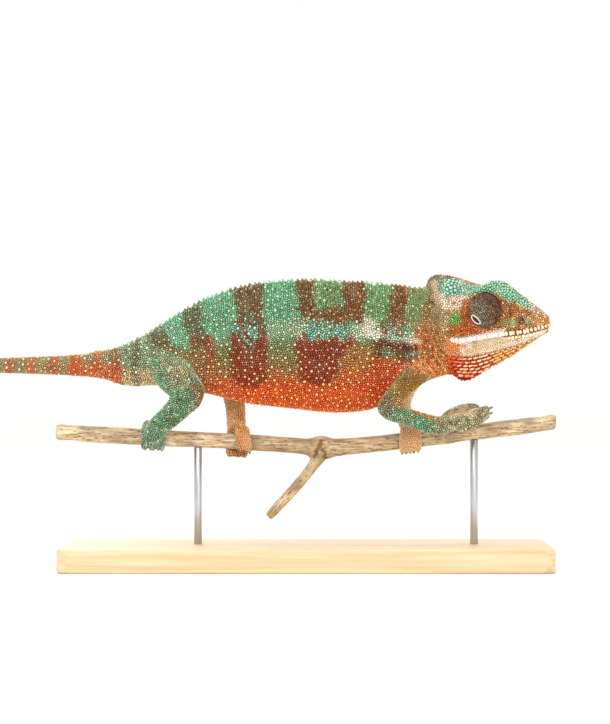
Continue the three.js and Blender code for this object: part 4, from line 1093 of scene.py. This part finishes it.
# The skin's own unwrap places each scale's patch.
bpy.context.view_layer.objects.active = skin
skin.select_set(True)
skin.data.uv_layers.new(name="OFBake")
bpy.ops.object.mode_set(mode="EDIT")
bpy.ops.mesh.select_all(action="SELECT")
bpy.ops.uv.smart_project(angle_limit=math.radians(66), island_margin=0.002)
bpy.ops.object.mode_set(mode="OBJECT")
skin_uv = rows_of(skin.data.uv_layers["OFBake"].uv, "vector", 2)
a, b, c = triangle_points[site_triangles].transpose(1, 0, 2)
whole_cross = np.cross(b - a, c - a)
whole_square = np.maximum((whole_cross ** 2).sum(1), 1e-12)
share_b = (np.cross(sites - a, c - a) * whole_cross).sum(1) / whole_square
share_c = (np.cross(b - a, sites - a) * whole_cross).sum(1) / whole_square
corner_uv = skin_uv[triangle_loops[site_triangles]]
site_uv = (corner_uv[:, 0] * (1 - share_b - share_c)[:, None] + corner_uv[:, 1] * share_b[:, None]
           + corner_uv[:, 2] * share_c[:, None])
PATCH = 0.003


def frame_at(normals, way=(1.0, 0, 0)):
    """A direction along the skin, near way, and one across it."""
    along = np.broadcast_to(np.asarray(way, float), normals.shape)
    along = along - (along * normals).sum(1)[:, None] * normals
    weak = np.linalg.norm(along, axis=1) < 0.2
    spare = np.array([0, 0, 1.0]) - normals[:, 2:3] * normals
    along = np.where(weak[:, None], spare, along)
    along /= np.linalg.norm(along, axis=1, keepdims=True)
    return along, np.cross(normals, along)


def borders(these, turn):
    """How far each of these scales reaches in each direction before it meets its neighbours."""
    at, normals, radius = sites[these], site_normals[these], radii[these][:, None]
    beside = near[these]
    along, across = frame_at(normals)
    apart = sites[beside] - at[:, None]
    flat = np.stack([(apart * along[:, None]).sum(2), (apart * across[:, None]).sum(2)], 2)
    square = (apart ** 2).sum(2)
    flat *= (np.sqrt(square) / np.maximum(np.linalg.norm(flat, axis=2), 1e-6))[..., None]
    half_way = (square + radius ** 2 - radii[beside] ** 2) / 2
    facing = (normals[:, None] * site_normals[beside]).sum(2) > 0.2
    reach = np.full(turn.shape, 1e9)
    for k in range(turn.shape[1]):
        toward = flat[..., 0] * np.cos(turn[:, k:k + 1]) + flat[..., 1] * np.sin(turn[:, k:k + 1])
        limit = np.where((toward > 1e-6) & facing, half_way / np.maximum(toward, 1e-6), 1e9)
        reach[:, k] = limit.min(1)
    return np.clip(reach, SMALLEST * radius, LARGEST * radius) * GROOVE


def domes(sites, normals, turn, reach, heights, rings, shades, uv, lie=(1.0, 0, 0), lean=0):
    """Closed scales. Each ring is (share of the reach, share of the height or depth in mm, shade), the
    shades are the colours of foot, side and tip, and lean moves the tips back against the way they
    lie, as a share of their height."""
    count, sides = reach.shape
    along, across = frame_at(normals, lie)
    way = np.cos(turn)[..., None] * along[:, None] + np.sin(turn)[..., None] * across[:, None]
    points, tones, patches = [], [], []
    for share, level, shade in rings:
        lift = heights * level if level > 0 else np.full(count, level)
        slide = np.maximum(lift, 0) ** 2 / np.maximum(heights, 1e-6) * -lean
        points.append(sites[:, None] + way * (reach * share)[..., None]
                      + (normals * lift[:, None] + along * slide[:, None])[:, None])
        tones.append(np.repeat(shades[shade][:, None], sides, axis=1))
        spot = np.stack([np.cos(turn), np.sin(turn)], 2) * PATCH / 2 * share
        patches.append(uv[:, None] + spot)
    points.append((sites + normals * heights[:, None] - along * heights[:, None] * lean)[:, None])
    tones.append(shades[TIP][:, None])
    patches.append(uv[:, None])
    points, tones, patches = (np.concatenate(part, axis=1) for part in (points, tones, patches))
    each = points.shape[1]
    here = np.arange(sides)
    last = (len(rings) - 1) * sides
    caps = np.stack([last + here, last + (here + 1) % sides, np.full(sides, each - 1)], 1)
    starts = (np.arange(count) * each)[:, None, None]
    faces = [(walls_between(len(rings), sides) + starts).reshape(-1, 4), (caps + starts).reshape(-1, 3),
             here[::-1] + starts[:, 0]]
    return points.reshape(-1, 3), tones.reshape(-1, 3), patches.reshape(-1, 2), faces


def coat_piece(name, batches, material, slot):
    """One object from batches of domes, with its colours and its bake map."""
    starts = np.cumsum([0] + [len(batch[0]) for batch in batches])
    faces = [group + start for batch, start in zip(batches, starts) for group in batch[3]]
    mesh = solid_mesh(name, np.concatenate([batch[0] for batch in batches]), *faces)
    paint(mesh, np.concatenate([batch[1] for batch in batches]))
    uv = np.concatenate([batch[2] for batch in batches])
    corners = rows_of(mesh.loops, "vertex_index", 1, np.int32)[:, 0]
    mesh.uv_layers.new(name="OFBake").uv.foreach_set("vector", uv[corners].astype(np.float32).ravel())
    fit(piece_of(mesh, material), slot)


# Each dome is coloured from its foot, darkened as painted shade in the groove, through its side to its tip,
# lightened as a painted highlight.
FOOT, SIDE, TIP = 0, 1, 2
GRANULE_RINGS = ((1.0, -0.25, FOOT), (0.6, 0.74, SIDE))
TUBERCLE_RINGS = ((1.0, -0.25, FOOT), (0.84, 0.45, SIDE), (0.45, 0.88, TIP))
PLATE_RINGS = ((1.0, -0.2, FOOT), (0.88, 0.62, SIDE), (0.6, 0.95, TIP))
near = neighbours(sites, 12)
plate = (radii > 0.6) & ~tubercle & (site_node == "head")
KINDS = ((6, GRANULE_RINGS, ~(tubercle | plate)), (9, TUBERCLE_RINGS, tubercle), (9, PLATE_RINGS, plate))
heights = radii * (0.85 + 0.2 * draw.random(len(sites)))
heights[tubercle] = radii[tubercle] * 0.9
heights[plate] = 0.3 + 0.2 * radii[plate]
even = 1 - 0.6 * inner_leg(site_colours, site_node)
tone = np.clip(1.06 + 0.2 * even * draw.standard_normal(len(sites)), 0.6, 1.6)
site_colours = np.clip(site_colours * tone[:, None], 0, 1)
on_lip = on_lip_or_jaw(sites[:, [0, 2]]) & in_front[open_place]
softness = np.maximum(on_lip * 0.85, inner_leg(site_colours, site_node) * 0.8)
foot_shade_colours = gap_colour_and_shade(site_colours, softness)
low = steep(-sites[:, 2], -116, -98) * (site_node == "trunk")
bump_share = 0.14 + 0.36 * low + 0.25 * draw.random(len(sites))
granule_share = 0.04 + low * np.maximum(draw.random(len(sites)) - 0.6, 0)
paler = np.where(tubercle & ~on_leg(site_node), bump_share, granule_share)
# Every scale's tip is lightened as a painted highlight; the cream and pale green mixed in below are the
# tubercles' own pale tips.
highlighted_tip = 1 - (1 - site_colours) ** np.where(tubercle, 2.0, 1.7)[:, None]
greenish = steep(site_colours[:, 1] / np.maximum(site_colours[:, 0], 1e-3), 1.0, 1.3)
warm_tip, cool_tip = laid(highlighted_tip, "#f6d08a", paler * (1 + 0.3 * low)), laid(highlighted_tip, "#dcebd2", paler)
tip_colours = mixed(warm_tip, cool_tip, greenish)
side_colours = site_colours * 0.7 + tip_colours * 0.3
right = sites[:, 1] < 0
lower = sites[:, 2] < 112
COAT = [("scales_head_right", (site_node == "head") & right, "scaly_skin_head"),
        ("scales_head_left", (site_node == "head") & ~right, "scaly_skin_head"),
        ("scales_throat", (site_node == "lower_jaw") | (site_node == "throat"), "scaly_skin_head"),
        ("scales_neck", site_node == "neck", "scaly_skin_body"),
        ("scales_tail_root", (site_node == "tail_base") | (site_node == "tail_middle"), "scaly_skin_tail"),
        ("scales_tail_curl", np.isin(site_node, TAIL[2:]), "scaly_skin_tail")]
COAT += [(f"scales_trunk_{one}_{two}", (site_node == "trunk") & (right == (one == "right"))
          & (lower == (two == "lower")), "scaly_skin_body")
         for one in ("right", "left") for two in ("upper", "lower")]
COAT += [(f"scales_{leg}_leg", np.char.startswith(site_node, leg), "scaly_skin_leg") for leg in LEGS]
# Keratin of the scales: satin, a little glossier than the bare skin, each with its own colour.
scale_finish = hide("satin keratin scales", 0.5, 0.5, 0.06)
for name, chosen, slot in COAT:
    batches = []
    for sides, rings, kind in KINDS:
        these = np.flatnonzero(chosen & kind)
        if len(these) == 0:
            continue
        turn = draw.random((len(these), 1)) * 2 * math.pi + np.arange(sides) * 2 * math.pi / sides
        reach = borders(these, turn)
        shades = [colours[these] for colours in (foot_shade_colours, side_colours, tip_colours)]
        batches.append(domes(sites[these], site_normals[these], turn, reach, heights[these], rings, shades,
                             site_uv[these]))
    coat_piece(name, batches, scale_finish, slot)

# Crests. A saw-edged row of soft cones runs down the back on to the tail, a shorter one hangs as a
# fringe from the chin and throat, and a fine one edges the belly.
SPINE_RINGS = ((1.0, -0.5, FOOT), (0.8, 0.22, SIDE), (0.45, 0.62, SIDE), (0.2, 0.88, TIP))
SPINE_SIDES = 9
CREST_PITCH, FRINGE_PITCH, BELLY_PITCH = 2.35, 1.6, 1.7


def spine_row(name, start, end, pitch, up, from_z, tall, wide, lean, slot):
    """A row of cones along the midline, set on the skin above or below, with its own size at each x."""
    roots, triangles = [], []
    for x in np.arange(start, end, pitch):
        hit = skin_tree.ray_cast((float(x + 0.2 * pitch * draw.uniform(-1, 1)), 0.0, from_z), (0, 0, -up))
        if hit[0] is not None:
            roots.append(hit[0][:])
            triangles.append(hit[2])
    roots, outward = np.array(roots), np.array([[0, 0, float(up)]] * len(roots))
    x = roots[:, 0]
    height = np.interp(x, *zip(*tall)) * (0.85 + 0.3 * draw.random(len(x)))
    turn = np.broadcast_to(np.arange(SPINE_SIDES) * 2 * math.pi / SPINE_SIDES, (len(x), SPINE_SIDES))
    reach = wide * pitch / 2 * np.hypot(np.cos(turn), 0.62 * np.sin(turn))
    colours = markings(roots, np.array([[0, -1.0, 0]] * len(x)), skin_owner[triangle_corners[triangles, 0]])
    colours = 1 - (1 - np.clip(colours, 0, 1)) ** 1.25
    if from_z < 100:
        colours = laid(colours, "#f0b888", np.full(len(x), 0.6))
    # The cone's foot is darkened as painted shade and its tip lightened as a painted highlight.
    shades = (colours * 0.45, colours, np.clip(colours * 1.15, 0, 1))
    patches = skin_uv[triangle_loops[triangles, 0]]
    batch = domes(roots, outward, turn, reach, height, SPINE_RINGS, shades, patches, lean=lean)
    coat_piece(name, [batch], scale_finish, slot)


CREST_TALL = ((-150, 0.4), (-112, 0.8), (-85, 1.2), (-50, 1.6), (30, 1.6), (61, 1.3))  # (x, height)
FRINGE_TALL = ((84, 0.5), (90, 1.0), (105, 1.2), (119, 0.5))
BELLY_TALL = ((-58, 0.5), (-30, 0.9), (25, 0.9), (46, 0.5))
spine_row("crest_of_back", -150, 61, CREST_PITCH, 1, 200.0, CREST_TALL, 1.1, 0.25, "scaly_skin_body")
spine_row("fringe_of_throat", 84, 119.5, FRINGE_PITCH, -1, 88.0, FRINGE_TALL, 1.0, 0.3, "scaly_skin_head")
spine_row("edge_of_belly", -58, 46, BELLY_PITCH, -1, 76.0, BELLY_TALL, 1.05, 0.1, "scaly_skin_body")

# Lip plates and throat rows. Blocky horny plates edge the upper jaw in front of the eye, with a lower
# row under them; behind the eye the lip is a smooth pale roll. The loose throat hangs in level folds,
# and each fold carries one row of long flat scales, with dark red skin between the rows, darkened
# further by painted shade.
PLATE_STEP = 1.8
ROLL_HALF, PLATE_HALF = PLATE_STEP * 0.5, PLATE_STEP * 0.44
PLATE_SIDES = 12
SQUARENESS = 3.4  # 2 would be an ellipse, more is nearer to a rectangle
ROLL_GAP, LABIAL_GAP, THROAT_GAP = [0.94, 0.86, 0.72], [0.62, 0.4, 0.26], [0.6, 0.2, 0.1]
LIP_ROWS = (  # name, first x, last x, place over the mouth, half length, half height, relief, colour, gap
    ("upper_lip_roll", 73, 98, 1.6, ROLL_HALF, 1.1, 0.3, "#f8ebcd", ROLL_GAP),
    ("upper_lip_plates", 98, 121.8, 1.3, PLATE_HALF, 1.1, 0.45, "#f0dab4", LABIAL_GAP),
    ("lower_lip_plates", 101, 120.5, -1.0, PLATE_HALF, 0.75, 0.3, "#eedfbb", LABIAL_GAP),
)
LIP_RINGS = ((1.0, -0.3, FOOT), (0.9, 0.5, SIDE), (0.66, 0.93, TIP))
THROAT_STEP = 2.7


def plate_row(hand, x, z, slope, half_long, half_tall, height, colours, foot_tint):
    """Flat plates on one side of the head at each (x, z), lying along the slope, as one batch."""
    found = [skin_tree.ray_cast((float(px), 30.0 * hand, float(pz)), (0, -hand, 0)) for px, pz in zip(x, z)]
    kept = np.array([hit[0] is not None and abs(hit[1][1]) > 0.25 for hit in found])
    roots, outward, triangles, _ = map(np.array, zip(*itertools.compress(found, kept)))
    outward /= np.linalg.norm(outward, axis=1, keepdims=True)
    half_tall, colours = np.broadcast_to(half_tall, len(x))[kept, None], colours[kept]
    turn = (np.arange(PLATE_SIDES) + 0.5) * 2 * math.pi / PLATE_SIDES
    turn = np.broadcast_to(turn, (len(roots), PLATE_SIDES))
    along, up = np.abs(np.cos(turn)) / half_long, np.abs(np.sin(turn)) / half_tall
    reach = (along ** SQUARENESS + up ** SQUARENESS) ** (-1 / SQUARENESS)
    reach = reach * (0.94 + 0.1 * draw.random((len(roots), 1)))
    # The foot takes the gap tint, the darker skin between plates with painted shade in the groove, and the
    # tip is lightened as a painted highlight.
    shades = (colours * foot_tint, colours, 1 - (1 - colours) ** 1.4)
    return domes(roots, outward, turn, reach, np.full(len(roots), height), LIP_RINGS, shades,
                 skin_uv[triangle_loops[triangles, 0]], lie=(0.97, 0, 0.97 * slope))


def lip_row(name, hand, start, end, above, half_long, half_tall, height, colour, gap_tint):
    """Plates along one side of the mouth, above or below its line."""
    x = np.arange(start, end, PLATE_STEP)
    z = np.interp(x, *np.array(MOUTH_LINE).T) + above
    fade = np.clip((123.5 - x) / 6, 0.55, 1)
    x = x + 0.2 * draw.standard_normal(len(x))
    colours = np.array([linear(colour)] * len(x)) * (0.62 + 0.38 * draw.random((len(x), 1)))
    uneven = 0.85 + 0.3 * draw.random(len(x))
    batch = plate_row(hand, x, z, 0.2, half_long, half_tall * fade * uneven, height, colours, gap_tint)
    coat_piece(name, [batch], scale_finish, "scaly_skin_head")


def z_floor(x):
    """The height of the throat's lower edge at each x."""
    hits = [skin_tree.ray_cast((float(px), 0.0, 80.0), (0, 0, 1.0))[0] for px in x]
    return np.array([999 if hit is None else hit[2] for hit in hits])


def throat_rows_of(name, hand):
    """Rows of long plates between each two folds of the throat."""
    batches = []
    for row, (upper, lower) in enumerate(itertools.pairwise(GULAR_LINES)):
        start, end = max(upper[0][0], lower[0][0]), min(upper[-1][0], lower[-1][0])
        x = np.arange(60 + THROAT_STEP / 2 * (row % 2), end, THROAT_STEP)
        x = x[x > start + 0.5] + 0.3 * draw.standard_normal(np.count_nonzero(x > start + 0.5))
        x = x[z_floor(x) < np.interp(x, *np.array(lower).T) + 0.6]
        if len(x) < 2:
            continue
        top, bottom = (np.interp(x, *np.array(line).T) for line in (upper, lower))
        middle = (top + bottom) / 2
        colours = blended("#d4501a", "#f2c494", steep(x + 1.5 * draw.standard_normal(len(x)), 74, 81))
        colours = laid(colours, "#e6a452", steep(x, 86, 96) * 0.75)
        colours = laid(colours, "#cf4e1e", steep(-middle + draw.standard_normal(len(x)), -98.5, -96) * 0.8)
        slope = np.polyfit(x, middle, 1)[0] + 0.06
        half_tall = np.maximum((top - bottom) / 2 - 0.12, 0.3)
        batches.append(plate_row(hand, x, middle, slope, THROAT_STEP * 0.52, half_tall, 0.5, colours,
                                 THROAT_GAP))
    coat_piece(name, batches, scale_finish, "scaly_skin_head")


for hand, name in ((-1, "right"), (1, "left")):
    for row_name, *row in LIP_ROWS:
        lip_row(f"{row_name}_{name}", hand, *row)
    throat_rows_of(f"throat_plates_{name}", hand)

# Eyes. Each eyeball is wrapped in one cone-like turret of lid, finely scaled in rings round the small
# almond slit that the animal looks through; the slit has a thick pale rim.
TURRET = np.array([8.3, 8.1, 8.7])
GAZES = {"right": (-0.585, -0.54, -0.605), "left": (0.45, 0.88, -0.1)}
SLIT_WAY = (0.80, 0, -0.60)
SLIT_LONG, SLIT_TALL = 17.0, 11.0
BALL_RADIUS = 2.3
TURRET_RINGS = (  # degrees beyond the slit's edge, share of the turret's radius, whiteness
    (-0.9, 0.78, 0), (-0.5, 0.88, 0), (0.2, 0.97, 0.1), (0.8, 1.02, 1), (1.6, 1.04, 1), (2.6, 1.035, 1),
    (3.8, 1.0, 0.5))
RIM_END = TURRET_RINGS[-1][0]
LID_SIDES, LID_RINGS, LID_BACK = 72, 30, 150
LID_STEP = 0.98
LID_SCALE_HALF, LID_SCALE_TALL, LID_SCATTER = LID_STEP * 0.47, 0.36, 0.018
LID_RIPPLE = 0.012
SCALES_IN = 0.985  # the scales' roots lie just inside the turret's own size, as a share of it
SCALES_OUT, BESIDE_RIM = 15, 3.5  # how far the rings go, in millimetres, and their start, in degrees
IN_THE_HEAD = 112  # degrees from the gaze where the turret is out of sight
BALL_SET = 5.9
BALL_SIDES, BALL_RINGS = 32, 24
GREY_LID, BROWN_LID, RIM_WHITE, RED_BASE_AND_SHADOW = "#8c7b62", "#6e4a28", "#f1e2d6", "#70280a"
# Eyelid skin: fine dry scales on a thin stretched hide, satin and finely grained.
lid_finish = hide("fine-scaled eyelid", 0.5, 0.4, 0.05)
# Cornea over a dark iris: wet and mirror-smooth, nearly black with a brown ring.
cornea, tree, shader = finish_of("wet dark cornea")
place = add(tree, "ShaderNodeAttribute", attribute_name="paint").outputs["Color"]
feed(tree, shader, {"Base Color": place, "Roughness": 0.06, "Coat Weight": 0.35, "Coat Roughness": 0.02})


def degrees_off(directions, axis):
    """The angle of each direction from the axis."""
    return np.degrees(np.arccos(np.clip(directions @ axis, -1, 1)))


def lid_colours(points, middle, away):
    """The turret's colour: grey-olive round the slit, browner outwards, dark red-brown at its base, with
    painted shadow on the lower front.
    """
    colours = blended("#928268", GREY_LID, steep(away, 22, 60))
    colours = laid(colours, BROWN_LID, steep(away, 58, 88))
    low_front = ((points - middle) @ [0.55, 0, -0.83]) / 8.5
    colours = laid(colours, "#8a4f22", steep(away, 34, 62) * steep(low_front, -0.1, 0.7) * 0.7)
    # Dark red-brown round the base on its lower front: the skin's own red with painted shadow under the
    # turret.
    colours = laid(colours, RED_BASE_AND_SHADOW, steep(away, 62, 88) * steep(low_front, -0.6, 0.5) * 0.9)
    colours = laid(colours, "#a08f76", steep(noise(points, 1.3, 41), 0.1, 0.7) * 0.4)
    return laid(colours, "#3f3022", steep(-noise(points, 1.3, 41), 0.2, 0.8) * 0.5)


def on_turret(eye, away, turn, out):
    """The turret's surface at an angle from the gaze and a turn about it, in degrees and radians."""
    middle, gaze, long_way, tall_way = eye
    away, turn = np.radians(away)[..., None], turn[..., None]
    way = gaze * np.cos(away) + (long_way * np.cos(turn) + tall_way * np.sin(turn)) * np.sin(away)
    return middle + way * TURRET * out


def bare_lid(name, eye, slit, turn):
    """The turret's skin, rolled into the slit at its rim and drawn back into the head behind."""
    middle, gaze, *_ = eye
    rings = [on_turret(eye, slit + beyond, turn, out) for beyond, out, _ in TURRET_RINGS]
    whites = [white for _, _, white in TURRET_RINGS]
    widest = slit + RIM_END
    for share in np.linspace(0, 1, LID_RINGS)[1:]:
        away = widest * (1 - share) + LID_BACK * share
        rings.append(on_turret(eye, away, turn, SCALES_IN + LID_RIPPLE * math.cos(share * 70)))
        whites.append(0.0)
    mesh = rings_mesh(f"eye_turret_lid_{name}", rings)
    points = points_of(mesh)
    # The bare lid under the granules is darkened to a fifth as painted shade between them, and the two rings
    # rolled into the slit are near black as painted shade inside it.
    colours = lid_colours(points, middle, degrees_off((points - middle) / TURRET, gaze)) * 0.2
    colours[:2 * len(turn)] = linear("#1a0f0a")
    paint(mesh, laid(colours, RIM_WHITE, np.repeat(np.array(whites, float), len(turn))))
    fit(piece_of(mesh, lid_finish), "scaly_skin_eyelid", f"eye_turret_{name}")


def lid_scales(name, eye, slit, turn):
    """Granules in rings round the slit, which grow rounder outwards until they reach the head."""
    middle, gaze, long_way, tall_way = eye
    roots = []
    for out_by in np.arange(0, SCALES_OUT, LID_STEP):
        away = out_by / TURRET[0] * 180 / math.pi
        ring_away = slit + RIM_END + BESIDE_RIM + away
        blend = steep(away, 15, 50)
        ring_away = ring_away * (1 - blend) + ring_away.mean() * blend
        if ring_away.min() > IN_THE_HEAD:
            break
        ring = on_turret(eye, ring_away, turn, SCALES_IN)
        length = np.linalg.norm(np.roll(ring, -1, axis=0) - ring, axis=1)
        total = length.sum()
        count = max(8, round(total / LID_STEP))
        at = (np.arange(count) + 0.5 * (len(roots) % 2)) / count * total
        steps = np.concatenate([[0], np.cumsum(length)])
        closed = np.concatenate([ring, ring[:1]])
        roots.append(np.stack([np.interp(at, steps, closed[:, k]) for k in range(3)], 1))
    roots = np.concatenate(roots)
    scattered = (roots - middle) / TURRET + LID_SCATTER * draw.standard_normal(roots.shape)
    roots = middle + scattered / np.linalg.norm(scattered, axis=1, keepdims=True) * SCALES_IN * TURRET
    outward = (roots - middle) / TURRET ** 2
    outward /= np.linalg.norm(outward, axis=1, keepdims=True)
    flat = (roots - middle) / TURRET
    colours = lid_colours(roots, middle, degrees_off(flat, gaze))
    colours = colours * (0.55 + 0.85 * draw.random((len(roots), 1)))
    turn_six = draw.random((len(roots), 1)) * 6 + np.arange(6) * math.pi / 3
    patches = np.stack([0.5 + 0.45 * (flat @ long_way), 0.5 + 0.45 * (flat @ tall_way)], 1)
    # Each granule's foot is near black as painted shade and its tip lightened nearly threefold as a painted
    # highlight.
    shades = (colours * 0.1, colours * 0.75, np.clip(colours * 2.9, 0, 1))
    batch = domes(roots, outward, turn_six, np.full(turn_six.shape, LID_SCALE_HALF),
                  np.full(len(roots), LID_SCALE_TALL), GRANULE_RINGS, shades, patches)
    coat_piece(f"scales_eyelid_{name}", [batch], lid_finish, "scaly_skin_eyelid")


def eyeball(name, eye):
    """The small wet ball behind the slit, nearly black with a brown ring."""
    middle, gaze, long_way, tall_way = eye
    middle = middle + gaze * BALL_SET
    rings = []
    for lean in np.linspace(4, 176, BALL_RINGS):
        lean = math.radians(lean)
        rings.append([middle + BALL_RADIUS * (gaze * math.cos(lean) + math.sin(lean)
                                              * (long_way * math.cos(turn) + tall_way * math.sin(turn)))
                      for turn in np.linspace(0, 2 * math.pi, BALL_SIDES, False)])
    mesh = rings_mesh(f"eyeball_wet_{name}", rings)
    lean = np.degrees(np.arccos(np.clip((points_of(mesh) - middle) @ gaze / BALL_RADIUS, -1, 1)))
    colours = blended("#050404", "#3a2414", steep(lean, 30, 34))
    paint(mesh, laid(colours, "#120b07", steep(lean, 44, 50)))
    fit(piece_of(mesh, cornea), "cornea", f"eyeball_{name}")


turn = np.linspace(0, 2 * math.pi, LID_SIDES, endpoint=False)
slit = 1 / np.hypot(np.cos(turn) / SLIT_LONG, np.sin(turn) / SLIT_TALL)
for hand, name in ((-1, "right"), (1, "left")):
    gaze = np.array(GAZES[name]) / np.linalg.norm(GAZES[name])
    long_way = np.array(SLIT_WAY) - np.dot(SLIT_WAY, gaze) * gaze
    long_way /= np.linalg.norm(long_way)
    eye = EYE_MIDDLE * [1, hand, 1], gaze, long_way, np.cross(gaze, long_way)
    bare_lid(name, eye, slit, turn)
    lid_scales(name, eye, slit, turn)
    eyeball(name, eye)

# Claws. Each toe ends in a short hooked claw of horn, which grows out of the toe's end over a core of
# bone and is worn down by the branches it grips.
# Claw horn: smooth and a little glossy, dark brown clouded with the paler layers that it grew in.
horn, tree, shader = finish_of("smooth dark horn")
place = add(tree, "ShaderNodeTexCoord").outputs["Object"]
layers = add(tree, "ShaderNodeTexNoise", {"Vector": place, "Scale": 1400.0, "Detail": 2.0})
tone = add(tree, "ShaderNodeMix", {"Factor": layers.outputs["Fac"], "A": "#4a3c2c", "B": "#9c8968"},
           data_type="RGBA")
feed(tree, shader, {"Base Color": tone.outputs[2], "Roughness": 0.3})
for node in sorted(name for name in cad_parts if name.startswith("claw_")):
    shape = bmesh.new()
    shape.from_mesh(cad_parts[node].data)
    bmesh.ops.remove_doubles(shape, verts=shape.verts, dist=0.01 * MM)
    claw_mesh = bpy.data.meshes.new(node.replace("claw_", "horn_"))
    shape.to_mesh(claw_mesh)
    shape.free()
    claw_mesh.shade_smooth()
    claw = piece_of(claw_mesh, horn)
    rounding = claw.modifiers.new("rounding", "SUBSURF")
    rounding.levels = rounding.render_levels = 1
    fit(claw, "claw", node)
